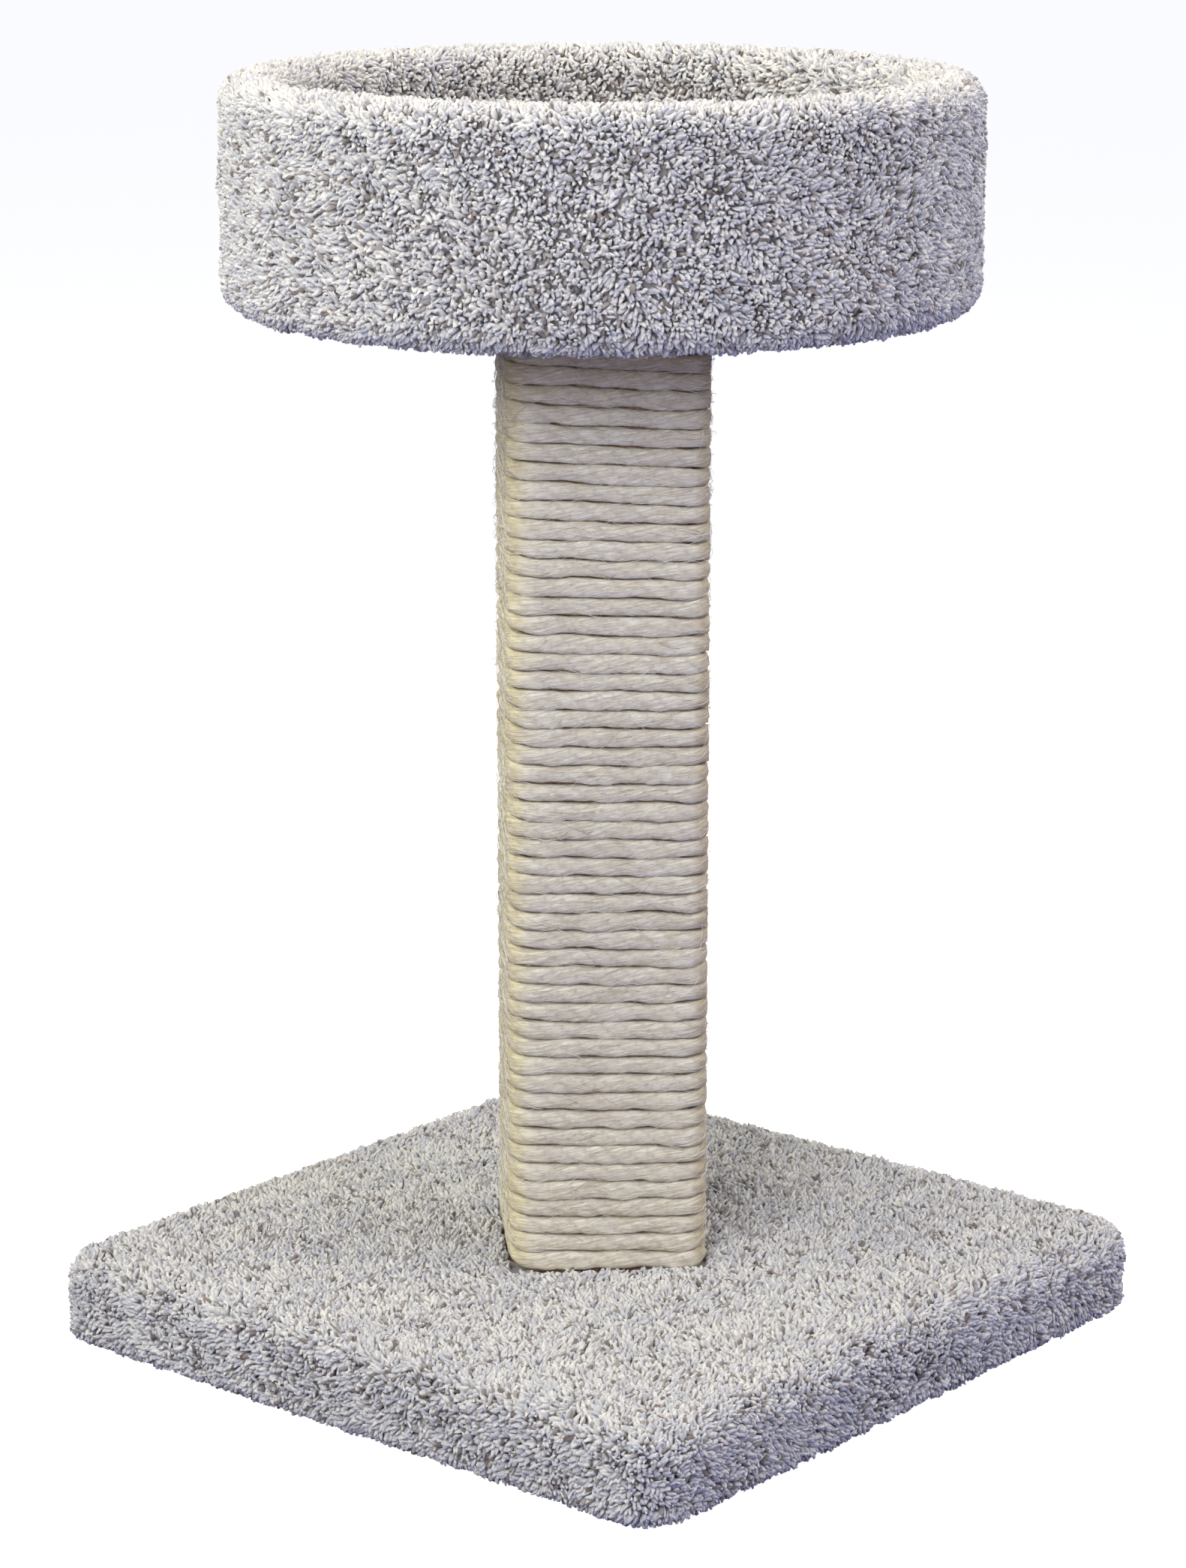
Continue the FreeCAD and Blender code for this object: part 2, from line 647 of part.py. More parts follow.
def least_gap(route):
    """The smallest space between the rope and itself, measured on points along its middle line."""
    step = number("Sizes.rope_thick") / 4
    spots = []
    for a, b in zip(route, route[1:]):
        count = max(1, round((b - a).Length / step))
        spots += [a + (b - a) * (i / count) for i in range(count)]
    per_turn = round(len(spots) / rope_turns())
    near = per_turn // 8
    closest = min(
        (spots[i] - spots[j]).Length
        for i in range(len(spots) - per_turn - near)
        for j in range(i + per_turn - near, i + per_turn + near)
    )
    return closest - number("Sizes.rope_thick"), len(spots)


def nail_places():
    """Where the rope's two nails stand: across the far side of the post, and up."""
    climb = "%s / (8 * %s)" % (ROPE_PITCH, ROPE_LINE)
    first = ("Sizes.nail_from_end", "%s + Sizes.nail_from_end * %s" % (ROPE_START, climb))
    top = "%s + %d * %s" % (ROPE_START, rope_turns(), ROPE_PITCH)
    last = ("-Sizes.nail_from_end", "%s - Sizes.nail_from_end * %s" % (top, climb))
    return first, last


def nail_section(body, name, across, height, distance, radius):
    """The outline of a nail at that distance from the post's middle, on the far side."""
    turn = "(Sizes.post_turn * 1 deg)"
    offset = (
        "%s * cos%s - (%s) * sin%s" % (across, turn, distance, turn),
        height,
        "-(%s) * sin%s - (%s) * cos%s" % (across, turn, distance, turn),
    )
    section = new_sketch(
        body, name, "XZ_Plane", offset=offset, axis=(0, 1, 0), turn="Sizes.post_turn"
    )
    draw_regular(section, "(%s)" % radius, TURNED_SIDES)
    return section


def rope_nail(body, name, across, height, cut=False):
    """A flat-headed nail through the rope into the far side of the post, or its hole."""
    clear = "Sizes.hole_clear" if cut else "0"
    seat = "%s + %s + Sizes.rope_clear" % (ROPE_LINE, ROPE_RADIUS)
    tip = "%s - Sizes.nail_long" % seat
    shank = "Sizes.nail_thick / 2 + %s" % clear
    point = "Sizes.tip_wide / 2 + %s" % clear
    stages = (
        (seat, shank),
        ("%s + 2 * Sizes.nail_thick" % tip, shank),
        ("%s - %s" % (tip, clear), point),
    )
    sketches = [
        nail_section(body, name + "ABC"[i], across, height, distance, radius)
        for i, (distance, radius) in enumerate(stages)
    ]
    loft_through(body, name, sketches, cut)
    if not cut:
        head = nail_section(body, name + "Head", across, height, seat, "Sizes.nail_head_wide / 2")
        extrude(body, head, "Sizes.nail_head_tall", backwards=True)


def make_rope_end_nails():
    """The two nails that hold the rope's ends."""
    body = new_body("rope_end_nails")
    first, last = nail_places()
    for name, across, height in (("LowerNail", *first), ("UpperNail", *last)):
        rope_nail(body, name, across, height)
    return body


def make_sisal_rope():
    """The whole winding as one unbroken faceted tube, bored for its two nails."""
    route = rope_route()
    path = Part.makePolygon(route)
    start = route[0]
    along = (route[1] - start).normalize()
    outward = FreeCAD.Vector(along.y, -along.x, 0).normalize()
    upward = along.cross(outward)
    radius = number(ROPE_RADIUS)
    ring = []
    for i in range(ROPE_FACETS):
        angle = 2 * math.pi * (i + 0.5) / ROPE_FACETS
        ring.append(start + outward * radius * math.cos(angle) + upward * radius * math.sin(angle))
    section = Part.makePolygon(ring + ring[:1])
    shell = Part.BRepOffsetAPI.MakePipeShell(path)
    shell.setTransitionMode(1)
    shell.add(section, False, False)
    shell.build()
    shell.makeSolid()
    tube = shell.shape()
    expected = Part.Face(section).Area * path.Length
    gap, spots = least_gap(route)
    print("sisal_rope: %d turns, %.2f m long" % (rope_turns(), path.Length / 1000))
    print("sisal_rope: volume over section times length %.5f" % (tube.Volume / expected))
    print("sisal_rope: least gap to itself %.2f mm on %d points" % (gap, spots))
    reach = number("Sizes.nail_thick / 2 + Sizes.hole_clear")
    depth = number("Sizes.rope_thick + 2 * Sizes.rope_clear")
    for across, height in nail_places():
        at = FreeCAD.Vector(number(across), number("Sizes.post_side / 2"), number(height))
        rim = []
        for i in range(TURNED_SIDES):
            angle = 2 * math.pi * i / TURNED_SIDES
            rim.append(at + FreeCAD.Vector(reach * math.cos(angle), 0, reach * math.sin(angle)))
        hole = Part.Face(Part.makePolygon(rim + rim[:1])).extrude(FreeCAD.Vector(0, depth, 0))
        tube = tube.cut(hole)
    rope = doc.addObject("Part::Feature", "sisal_rope")
    rope.Label = "sisal_rope"
    rope.Shape = tube.Solids[0]
    turned = FreeCAD.Rotation(FreeCAD.Vector(0, 0, 1), number("Sizes.post_turn"))
    rope.Placement = FreeCAD.Placement(FreeCAD.Vector(0, 0, 0), turned)
    return rope


# ---------------------------------------------------------------- bed


def make_bowl_floor_board():
    """The round floor board that stands on the post's end, inside the wall tube."""
    body = new_body("bowl_floor_board")
    half = new_sketch(body, "HalfSection", "XZ_Plane")
    rim = "%s - Sizes.soft_clear" % TUBE_INSIDE
    draw_polygon(half, (("0", POST_TOP), (rim, POST_TOP), (rim, FLOOR_TOP), ("0", FLOOR_TOP)))
    turn_round(body, half)
    floor_screws(body, cut=True)
    wall_staples(body, slots=True)
    bowl_staples(body, slots=True)
    return body


def make_bowl_wall_tube():
    """The stiff fibre tube that forms the bed's wall."""
    body = new_body("bowl_wall_tube")
    half = new_sketch(body, "HalfSection", "XZ_Plane")
    outside = "Sizes.tube_radius"
    draw_polygon(
        half,
        (
            (TUBE_INSIDE, POST_TOP),
            (outside, POST_TOP),
            (outside, TUBE_TOP),
            (TUBE_INSIDE, TUBE_TOP),
        ),
    )
    turn_round(body, half)
    wall_staples(body, slots=True)
    return body


def make_bowl_wall_staples():
    """Staples through the tube into the floor board's edge."""
    body = new_body("bowl_wall_staples")
    wall_staples(body, slots=False)
    return body


def make_bowl_wall_carpet():
    """One carpet band: hem under the bed, up the outside, over the rim and down the inside."""
    body = new_body("bowl_wall_carpet")
    half = new_sketch(body, "HalfSection", "XZ_Plane")
    outside = "Sizes.tube_radius + Sizes.carpet_thick"
    low = [
        ("%s - %s" % (outside, inwards), "%s + %s" % (BOWL_BOTTOM, up))
        for inwards, up in quarter_round("Sizes.bowl_low_round", EDGE_FACETS)
    ]
    rim = quarter_round("Sizes.bowl_rim_round", EDGE_FACETS)
    rim_out = [
        ("%s - %s" % (outside, inwards), "%s - %s" % (RIM_TOP, down))
        for inwards, down in reversed(rim)
    ]
    rim_in = [
        ("%s + %s" % (LINING_INSIDE, inwards), "%s - %s" % (RIM_TOP, down))
        for inwards, down in rim
    ]
    inside = (
        (LINING_INSIDE, FLOOR_TOP),
        ("%s - Sizes.soft_clear" % TUBE_INSIDE, FLOOR_TOP),
        ("%s - Sizes.soft_clear" % TUBE_INSIDE, TUBE_TOP),
        ("Sizes.tube_radius + Sizes.soft_clear", TUBE_TOP),
        ("Sizes.tube_radius + Sizes.soft_clear", POST_TOP),
        ("Sizes.tube_radius - Sizes.bowl_hem_wide", POST_TOP),
        ("Sizes.tube_radius - Sizes.bowl_hem_wide", BOWL_BOTTOM),
    )
    draw_polygon(half, (*low, *rim_out, *rim_in, *inside))
    turn_round(body, half)
    bowl_staples(body, slots=True)
    return body


def make_bowl_floor_carpet():
    """The round piece of carpet that covers the bed's floor inside the wall's carpet."""
    body = new_body("bowl_floor_carpet")
    half = new_sketch(body, "HalfSection", "XZ_Plane")
    rim = "%s - Sizes.soft_clear" % LINING_INSIDE
    top = "%s + Sizes.carpet_thick" % FLOOR_TOP
    draw_polygon(half, (("0", FLOOR_TOP), (rim, FLOOR_TOP), (rim, top), ("0", top)))
    turn_round(body, half)
    return body


def make_bowl_hem_staples():
    """Staples that hold the wall carpet's hem under the floor board."""
    body = new_body("bowl_hem_staples")
    bowl_staples(body, slots=False)
    return body


def make_bowl_post_screws():
    """Countersunk screws that hold the bed on the post's end."""
    body = new_body("bowl_post_screws")
    floor_screws(body, cut=False)
    return body


PIECES = (
    make_base_board_lower,
    make_base_board_upper,
    make_base_board_screws,
    make_base_carpet,
    make_base_hem_staples,
    make_post_core,
    make_post_lag_screws,
    make_post_lag_washers,
    make_sisal_rope,
    make_rope_end_nails,
    make_bowl_floor_board,
    make_bowl_wall_tube,
    make_bowl_wall_staples,
    make_bowl_wall_carpet,
    make_bowl_floor_carpet,
    make_bowl_hem_staples,
    make_bowl_post_screws,
)


def with_plane_faces(shape):
    """The same solids with every flat face stored as a plane, which lofts don't do by themselves."""
    solids = []
    for solid in shape.Solids:
        faces = []
        for face in solid.Faces:
            if isinstance(face.Surface, Part.BSplineSurface) and face.findPlane():
                corners = [vertex.Point for vertex in face.OuterWire.OrderedVertexes]
                face = Part.Face(Part.makePolygon(corners + corners[:1]))
            faces.append(face)
        shell = Part.Shell(faces)
        shell.sewShape()
        flat = Part.Solid(shell)
        if flat.Volume < 0:
            flat.reverse()
        if not flat.isValid() or abs(flat.Volume - solid.Volume) > SAME_VOLUME * solid.Volume:
            raise RuntimeError("a solid changed when its faces were made plane")
        solids.append(flat)
    return solids[0] if len(solids) == 1 else Part.makeCompound(solids)


made = [make() for make in PIECES]
doc.recompute()

for thing in doc.Objects:
    if "Invalid" in thing.State or "Error" in thing.State:
        raise RuntimeError("%s is %s" % (thing.Label, thing.State))
for piece in made:
    if piece.Shape.isNull() or not piece.Shape.isValid():
        raise RuntimeError("%s has no valid shape" % piece.Label)

os.makedirs("parts", exist_ok=True)
for piece in made:
    written = with_plane_faces(piece.Shape)
    written.exportStep(os.path.join("parts", piece.Label + ".step"))
    box = written.BoundBox
    count = len(piece.Shape.Solids)
    print("%-20s %2d solids, z %.1f to %.1f" % (piece.Label, count, box.ZMin, box.ZMax))
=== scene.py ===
"""Looks of a cat scratching post: a carpeted base, a post wound with sisal and a round bed.

The carpet is grown as separate tufts of yarn on a dark backing, and the rope is one long
twisted surface along its own winding. Every length is in metres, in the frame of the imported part.
"""

import logging
import math
from collections.abc import Callable, Sequence
from dataclasses import dataclass, field
from enum import Enum
from functools import cached_property

import bpy
import numpy as np
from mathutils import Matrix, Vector


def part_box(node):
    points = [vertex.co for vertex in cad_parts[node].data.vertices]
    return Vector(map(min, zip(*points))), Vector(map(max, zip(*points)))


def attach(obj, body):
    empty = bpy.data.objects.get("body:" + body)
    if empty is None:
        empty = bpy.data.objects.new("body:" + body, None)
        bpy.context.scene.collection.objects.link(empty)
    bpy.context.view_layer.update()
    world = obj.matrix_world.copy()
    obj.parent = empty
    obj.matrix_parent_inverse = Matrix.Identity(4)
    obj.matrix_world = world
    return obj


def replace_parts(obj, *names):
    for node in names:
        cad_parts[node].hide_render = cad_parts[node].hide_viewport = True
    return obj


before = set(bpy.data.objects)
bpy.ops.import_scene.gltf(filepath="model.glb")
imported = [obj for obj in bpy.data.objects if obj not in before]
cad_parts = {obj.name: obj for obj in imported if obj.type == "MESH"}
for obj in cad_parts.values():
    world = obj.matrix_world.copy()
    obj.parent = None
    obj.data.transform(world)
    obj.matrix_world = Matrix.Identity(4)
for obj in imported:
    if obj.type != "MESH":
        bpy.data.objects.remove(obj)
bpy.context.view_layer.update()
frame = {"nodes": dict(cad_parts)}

LOG = logging.getLogger("scratching_post")
MM = 0.001
TURN = 2 * math.pi
QUARTER = math.pi / 2
UP = np.array([0.0, 0.0, 1.0])
BODY = "root"

Colour = tuple[float, float, float, float]
Pair = tuple[float, float]
Material = bpy.types.Material
Piece = bpy.types.Object
Arrays = tuple[np.ndarray, np.ndarray]


def rgb(red: float, green: float, blue: float) -> Colour:
    """A linear colour with full alpha."""
    return (red, green, blue, 1.0)


def even(level: float) -> Colour:
    """A grey, equal in all three channels."""
    return rgb(level, level, level)


# ---- arrays


def unit(vectors: np.ndarray) -> np.ndarray:
    """Each row divided by its own length."""
    return vectors / np.maximum(np.linalg.norm(vectors, axis=-1, keepdims=True), 1e-12)


@dataclass(frozen=True)
class Waves:
    """Smooth noise: a sum of plane waves of one typical length in random directions.

    value(p) = sum over k of sin(2 pi p . d_k / length_k + phase_k), scaled to a spread of about 1,
    with d_k random directions and length_k within a third of the typical length.
    """

    length: float
    seed: int
    count: int = 9

    def _terms(self) -> tuple[np.ndarray, np.ndarray, np.ndarray]:
        """Draw the waves.

        Returns:
            The wave vectors, the phases and a random direction for each wave.
        """
        rng = np.random.default_rng(self.seed)
        ways = unit(rng.normal(size=(self.count, 3)))
        lengths = self.length * rng.uniform(0.7, 1.4, size=(self.count, 1))
        phases = rng.uniform(0, TURN, size=self.count)
        return TURN * ways / lengths, phases, unit(rng.normal(size=(self.count, 3)))

    def value(self, points: np.ndarray) -> np.ndarray:
        """The noise at each point."""
        waves, phases, _ = self._terms()
        return np.sin(points @ waves.T + phases).sum(axis=1) * math.sqrt(2 / self.count)

    def vector(self, points: np.ndarray) -> np.ndarray:
        """A smoothly turning vector at each point."""
        waves, phases, sides = self._terms()
        return np.sin(points @ waves.T + phases) @ sides * math.sqrt(6 / self.count)


def grid_faces(rows: int, columns: int, round_columns: bool = True) -> np.ndarray:
    """Quads of a grid of rows by columns vertices, numbered row after row.

    Args:
        rows: How many rows of vertices.
        columns: How many vertices in each row.
        round_columns: Whether the last column joins the first.

    Returns:
        Four vertex numbers per face.
    """
    across = np.arange(columns if round_columns else columns - 1)
    low = (np.arange(rows - 1) * columns)[:, None]
    a = low + across
    b = low + (across + 1) % columns
    return np.stack([a, b, b + columns, a + columns], axis=-1).reshape(-1, 4)


def tube_faces(count: int, rings: int, sides: int, flip: bool = False) -> list[np.ndarray]:
    """Faces of separate tubes, each a run of rings closed at both ends.

    Args:
        count: How many tubes there are.
        rings: How many rings each has.
        sides: How many vertices a ring has.
        flip: Whether the faces look the other way, for rings numbered clockwise.

    Returns:
        The walls, the first ends and the last ends.
    """
    base = (np.arange(count) * rings * sides)[:, None]
    walls = (base[..., None] + grid_faces(rings, sides)[None]).reshape(-1, 4)
    ring = np.arange(sides)[None]
    faces = [walls, base + ring[:, ::-1], base + (rings - 1) * sides + ring]
    return [block[:, ::-1] for block in faces] if flip else faces


def rings_round(
    middles: np.ndarray,
    across: np.ndarray,
    upward: np.ndarray,
    radii: np.ndarray,
    angles: np.ndarray,
) -> np.ndarray:
    """Rings of vertices: middle + across * radius * cos(angle) + upward * radius * sin(angle).

    Args:
        middles: The rings' middles, in rows of three.
        across: The way that angle 0 points, for each ring.
        upward: The way that a quarter turn points, for each ring or for all.
        radii: The radii, with a last axis that fits the angles.
        angles: The vertices' angles.

    Returns:
        The vertices, with one more axis than the middles.
    """
    sideways = across[..., None, :] * (radii * np.cos(angles))[..., None]
    raised = upward[..., None, :] * (radii * np.sin(angles))[..., None]
    return middles[..., None, :] + sideways + raised


def circle(angles: np.ndarray) -> np.ndarray:
    """Points on a circle of radius 1, as a last axis of x and y."""
    return np.stack([np.cos(angles), np.sin(angles)], axis=-1)


def turned(x: np.ndarray, y: np.ndarray, angle: np.ndarray) -> np.ndarray:
    """Points turned about the origin: x cos - y sin and x sin + y cos."""
    cos, sin = np.cos(angle), np.sin(angle)
    return np.stack([x * cos - y * sin, x * sin + y * cos], axis=-1)


def new_piece(
    name: str,
    points: np.ndarray,
    faces: Sequence[np.ndarray],
    material: Material,
    smooth: bool = True,
) -> Piece:
    """A mesh object from arrays, dressed and riding on the part's one body.

    Args:
        name: The piece's name.
        points: Vertex positions, one per row.
        faces: Arrays of faces, each with its own number of corners per row.
        material: The finish.
        smooth: Whether its faces are shaded smooth.

    Returns:
        The finished object, at the origin and unturned.
    """
    mesh = bpy.data.meshes.new(name)
    mesh.vertices.add(len(points))
    mesh.vertices.foreach_set("co", np.asarray(points, np.float32).ravel())
    corners = np.concatenate([block.ravel() for block in faces]).astype(np.int32)
    sizes = np.concatenate([np.full(len(block), block.shape[1]) for block in faces])
    starts = np.concatenate([[0], np.cumsum(sizes)[:-1]]).astype(np.int32)
    mesh.loops.add(len(corners))
    mesh.loops.foreach_set("vertex_index", corners)
    mesh.polygons.add(len(sizes))
    mesh.polygons.foreach_set("loop_start", starts)
    mesh.polygons.foreach_set("use_smooth", np.full(len(sizes), smooth))
    mesh.update(calc_edges=True)
    mesh.materials.append(material)
    piece = bpy.data.objects.new(name, mesh)
    bpy.context.scene.collection.objects.link(piece)
    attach(piece, BODY)
    return piece


def mark_points(piece: Piece, name: str, values: np.ndarray) -> None:
    """Store one number per vertex as a named attribute."""
    attribute = piece.data.attributes.new(name, "FLOAT", "POINT")
    attribute.data.foreach_set("value", np.asarray(values, np.float32).ravel())


# ---- material nodes


class Nodes:
    """A node tree that nodes are added to by name, with their inputs given as values or sockets."""

    def __init__(self, tree: bpy.types.NodeTree) -> None:
        """Keep the tree."""
        self.tree = tree

    def add(self, kind: str, inputs: dict | None = None, **settings: object) -> bpy.types.Node:
        """Add a node.

        Args:
            kind: The node's type, without its ShaderNode prefix unless it is a group's own node.
            inputs: Values or sockets for its inputs, by name or number.
            settings: Its own properties.

        Returns:
            The node.
        """
        node = self.tree.nodes.new(kind if kind.startswith("Node") else "ShaderNode" + kind)
        for key, value in settings.items():
            setattr(node, key, value)
        for key, value in (inputs or {}).items():
            self.feed(node.inputs[key], value)
        return node

    def feed(self, socket: bpy.types.NodeSocket, value: object) -> None:
        """Join a socket to an input, or set the input's own value.

        Args:
            socket: The input.
            value: The socket or the value.
        """
        if isinstance(value, bpy.types.NodeSocket):
            self.tree.links.new(value, socket)
        else:
            socket.default_value = value

    def blend(self, mask: object, first: object, second: object, mode: str = "MIX") -> object:
        """Two colours mixed by a mask.

        Args:
            mask: How much of the second colour, a number or a socket.
            first: The colour where the mask is 0.
            second: The colour where the mask is 1.
            mode: Blender's name for how they are combined.

        Returns:
            The mixed colour's socket.
        """
        node = self.add("Mix", data_type="RGBA", blend_type=mode)
        self.feed(node.inputs[0], mask)
        self.feed(node.inputs[6], first)
        self.feed(node.inputs[7], second)
        return node.outputs[2]

    def span(
        self, value: object, low: float, high: float, to_low: float = 0.0, to_high: float = 1.0
    ) -> object:
        """A number brought from one range to another and kept inside it."""
        inputs = {0: value, 1: low, 2: high, 3: to_low, 4: to_high}
        return self.add("MapRange", inputs).outputs[0]

    def maths(self, operation: str, first: object, second: object) -> object:
        """Two numbers put through one of the Math node's operations."""
        return self.add("Math", {0: first, 1: second}, operation=operation).outputs[0]

    def upward(self, way: object) -> object:
        """The Z part of a vector."""
        return self.add("SeparateXYZ", {0: way}).outputs[2]

    def grain(
        self, place: object, scale: object, detail: float = 3.0, rough: float = 0.6
    ) -> object:
        """Cloudy noise at a place."""
        inputs = {"Vector": place, "Scale": scale, "Detail": detail, "Roughness": rough}
        return self.add("TexNoise", inputs).outputs["Fac"]


def new_group(
    name: str, takes: dict[str, tuple[str, object]], gives: dict[str, str]
) -> tuple[Nodes, dict[str, bpy.types.NodeSocket], bpy.types.Node]:
    """An empty shader node group with named sockets.

    Args:
        name: The group's name.
        takes: Inputs by name, each with its kind and starting value.
        gives: Outputs by name, each with its kind.

    Returns:
        The group's nodes, its inputs' sockets by name and its output node.
    """
    tree = bpy.data.node_groups.new(name, "ShaderNodeTree")
    for title, (kind, start) in takes.items():
        socket = tree.interface.new_socket(title, in_out="INPUT", socket_type="NodeSocket" + kind)
        if start is not None:
            socket.default_value = start
    for title, kind in gives.items():
        tree.interface.new_socket(title, in_out="OUTPUT", socket_type="NodeSocket" + kind)
    nodes = Nodes(tree)
    inside = nodes.add("NodeGroupInput")
    outside = nodes.add("NodeGroupOutput")
    return nodes, {title: inside.outputs[title] for title in takes}, outside


def mottle_group() -> bpy.types.NodeTree:
    """Uneven dye: soft patches and fine flecks over a colour.

    The colour is darkened and lightened by cloudy noise of two sizes, a coarse one for patches
    and a fine one for flecks, each with its own strength.

    Returns:
        The group.
    """
    takes = {
        "Place": ("Vector", None),
        "Colour": ("Color", even(0.5)),
        "Dark": ("Color", even(0.1)),
        "Patch Scale": ("Float", 20.0),
        "Patches": ("Float", 0.2),
        "Fleck Scale": ("Float", 900.0),
        "Flecks": ("Float", 0.2),
    }
    nodes, given, out = new_group("mottle", takes, {"Colour": "Color", "Height": "Float"})
    coarse = nodes.span(nodes.grain(given["Place"], given["Patch Scale"], 2.0), 0.35, 0.7)
    fine = nodes.grain(given["Place"], given["Fleck Scale"], 3.0, 0.7)
    flecks = nodes.span(fine, 0.35, 0.75)
    patches = nodes.maths("MULTIPLY", coarse, given["Patches"])
    patched = nodes.blend(patches, given["Colour"], given["Dark"])
    flecked = nodes.blend(nodes.maths("MULTIPLY", flecks, given["Flecks"]), patched, given["Dark"])
    nodes.feed(out.inputs["Colour"], flecked)
    nodes.feed(out.inputs["Height"], fine)
    return nodes.tree


def grain_group() -> bpy.types.NodeTree:
    """Lines that run along one way, as wood grain or combed fibre do.

    The place is squeezed along X by Stretch, so that noise becomes long streaks, and two sizes
    of streak are added together.

    Returns:
        The group.
    """
    takes = {
        "Place": ("Vector", None),
        "Stretch": ("Float", 0.06),
        "Scale": ("Float", 300.0),
        "Light": ("Color", rgb(0.6, 0.5, 0.4)),
        "Dark": ("Color", rgb(0.3, 0.2, 0.1)),
    }
    nodes, given, out = new_group("grain_lines", takes, {"Colour": "Color", "Height": "Float"})
    shrink = nodes.add("CombineXYZ", {0: given["Stretch"], 1: 1.0, 2: 1.0}).outputs[0]
    place = nodes.add("VectorMath", {0: given["Place"], 1: shrink}, operation="MULTIPLY").outputs[0]
    broad = nodes.grain(place, given["Scale"], 4.0, 0.65)
    thin = nodes.grain(place, nodes.maths("MULTIPLY", given["Scale"], 4.0), 3.0, 0.7)
    broad, thin = nodes.maths("MULTIPLY", broad, 0.6), nodes.maths("MULTIPLY", thin, 0.4)
    lines = nodes.maths("ADD", broad, thin)
    colour = nodes.blend(nodes.span(lines, 0.38, 0.62), given["Light"], given["Dark"])
    nodes.feed(out.inputs["Colour"], colour)
    nodes.feed(out.inputs["Height"], lines)
    return nodes.tree


@dataclass(frozen=True)
class Effects:
    """The node groups that several finishes share."""

    mottle: bpy.types.NodeTree
    lines: bpy.types.NodeTree


class Paint(Nodes):
    """One new material: its nodes, its Principled shader and the shared node groups."""

    def __init__(self, name: str, effects: Effects | None = None) -> None:
        """Make the material.

        Args:
            name: The material's name.
            effects: The shared node groups, unless the material uses none.
        """
        self.material = bpy.data.materials.new(name)
        self.material.use_nodes = True
        super().__init__(self.material.node_tree)
        self.shader = next(n for n in self.tree.nodes if n.type == "BSDF_PRINCIPLED")
        self.effects = effects

    @cached_property
    def place(self) -> bpy.types.NodeSocket:
        """The place in the object's own coordinates."""
        return self.add("TexCoord").outputs["Object"]

    def attribute(self, name: str) -> bpy.types.NodeSocket:
        """A named attribute's value."""
        return self.add("Attribute", attribute_name=name).outputs["Fac"]

    def surface(self, inputs: dict[str, object]) -> None:
        """Set or join the shader's inputs by name."""
        for key, value in inputs.items():
            self.feed(self.shader.inputs[key], value)

    def mottle(
        self, colour: object, dark: Colour, patches: Pair, flecks: Pair
    ) -> bpy.types.Node:
        """Lay uneven dye over a colour.

        Args:
            colour: The colour, or its socket.
            dark: What patches and flecks darken it towards.
            patches: The patches' scale and strength.
            flecks: The flecks' scale and strength.

        Returns:
            The group's node.
        """
        inputs = {
            "Place": self.place, "Colour": colour, "Dark": dark, "Patch Scale": patches[0],
            "Patches": patches[1], "Fleck Scale": flecks[0], "Flecks": flecks[1],
        }
        return self.add("Group", inputs, node_tree=self.effects.mottle)

    def lines(
        self, place: object, stretch: float, scale: float, light: Colour, dark: Colour
    ) -> bpy.types.Node:
        """Draw lines that run along one way."""
        inputs = {"Place": place, "Stretch": stretch, "Scale": scale, "Light": light, "Dark": dark}
        return self.add("Group", inputs, node_tree=self.effects.lines)

    def bump(self, height: object, depth: float, strength: float) -> None:
        """Let a height raise the surface."""
        inputs = {"Height": height, "Distance": depth, "Strength": strength}
        self.surface({"Normal": self.add("Bump", inputs).outputs[0]})


# ---- finishes


@dataclass(frozen=True)
class Finish:
    """How one kind of surface looks. Each kind adds its own nodes to a new material."""

    name: str

    def make(self, effects: Effects) -> Material:
        """Build the material.

        Args:
            effects: The shared node groups.

        Returns:
            The material.
        """
        paint = Paint(self.name, effects)
        self.apply(paint)
        return paint.material

    def apply(self, paint: Paint) -> None:
        """Add the finish's own nodes, as each kind does in its own way."""
        raise NotImplementedError(self.name)


@dataclass(frozen=True)
class YarnFinish(Finish):
    """Cut pile: pale tufts, darker towards their roots by painted shade, with some taupe and dark
    yarns.

    Each tuft has its own tint from 0 to 1. Most are cream or pale grey, and the last few
    percent are taupe or dark flecks. depth is 0 at the root and 1 at the tip.
    """

    name: str = "cut_pile"
    cream: Colour = rgb(0.85, 0.825, 0.765)
    grey: Colour = rgb(0.61, 0.615, 0.645)
    taupe: Colour = rgb(0.36, 0.315, 0.285)
    fleck: Colour = rgb(0.15, 0.105, 0.085)
    # painted shade: the colour at a tuft's root, where the tufts around it shade it
    root: Colour = rgb(0.49, 0.46, 0.46)
    grey_from: Pair = (0.25, 0.7)
    taupe_from: Pair = (0.85, 0.90)
    fleck_from: Pair = (0.945, 0.965)
    lit_from: Pair = (0.1, 0.85)

    def apply(self, paint: Paint) -> None:
        """Blend the yarns by tint, paint shade onto their roots and fray them with flecks.

        Args:
            paint: The new material.
        """
        tint, depth = paint.attribute("tint"), paint.attribute("depth")
        pale = paint.blend(paint.span(tint, *self.grey_from), self.cream, self.grey)
        brown = paint.blend(paint.span(tint, *self.taupe_from), pale, self.taupe)
        yarn = paint.blend(paint.span(tint, *self.fleck_from), brown, self.fleck)
        # Painted shade: each tuft darkens towards the root colour below lit_from.
        shaded = paint.blend(paint.span(depth, *self.lit_from), self.root, yarn)
        dyed = paint.mottle(shaded, self.taupe, (9.0, 0.10), (1500.0, 0.34))
        paint.surface({
            "Base Color": dyed.outputs["Colour"], "Roughness": 0.92, "Specular IOR Level": 0.15,
            "Sheen Weight": 0.35, "Sheen Roughness": 0.6,
        })
        paint.bump(dyed.outputs["Height"], 0.6 * MM, 0.8)


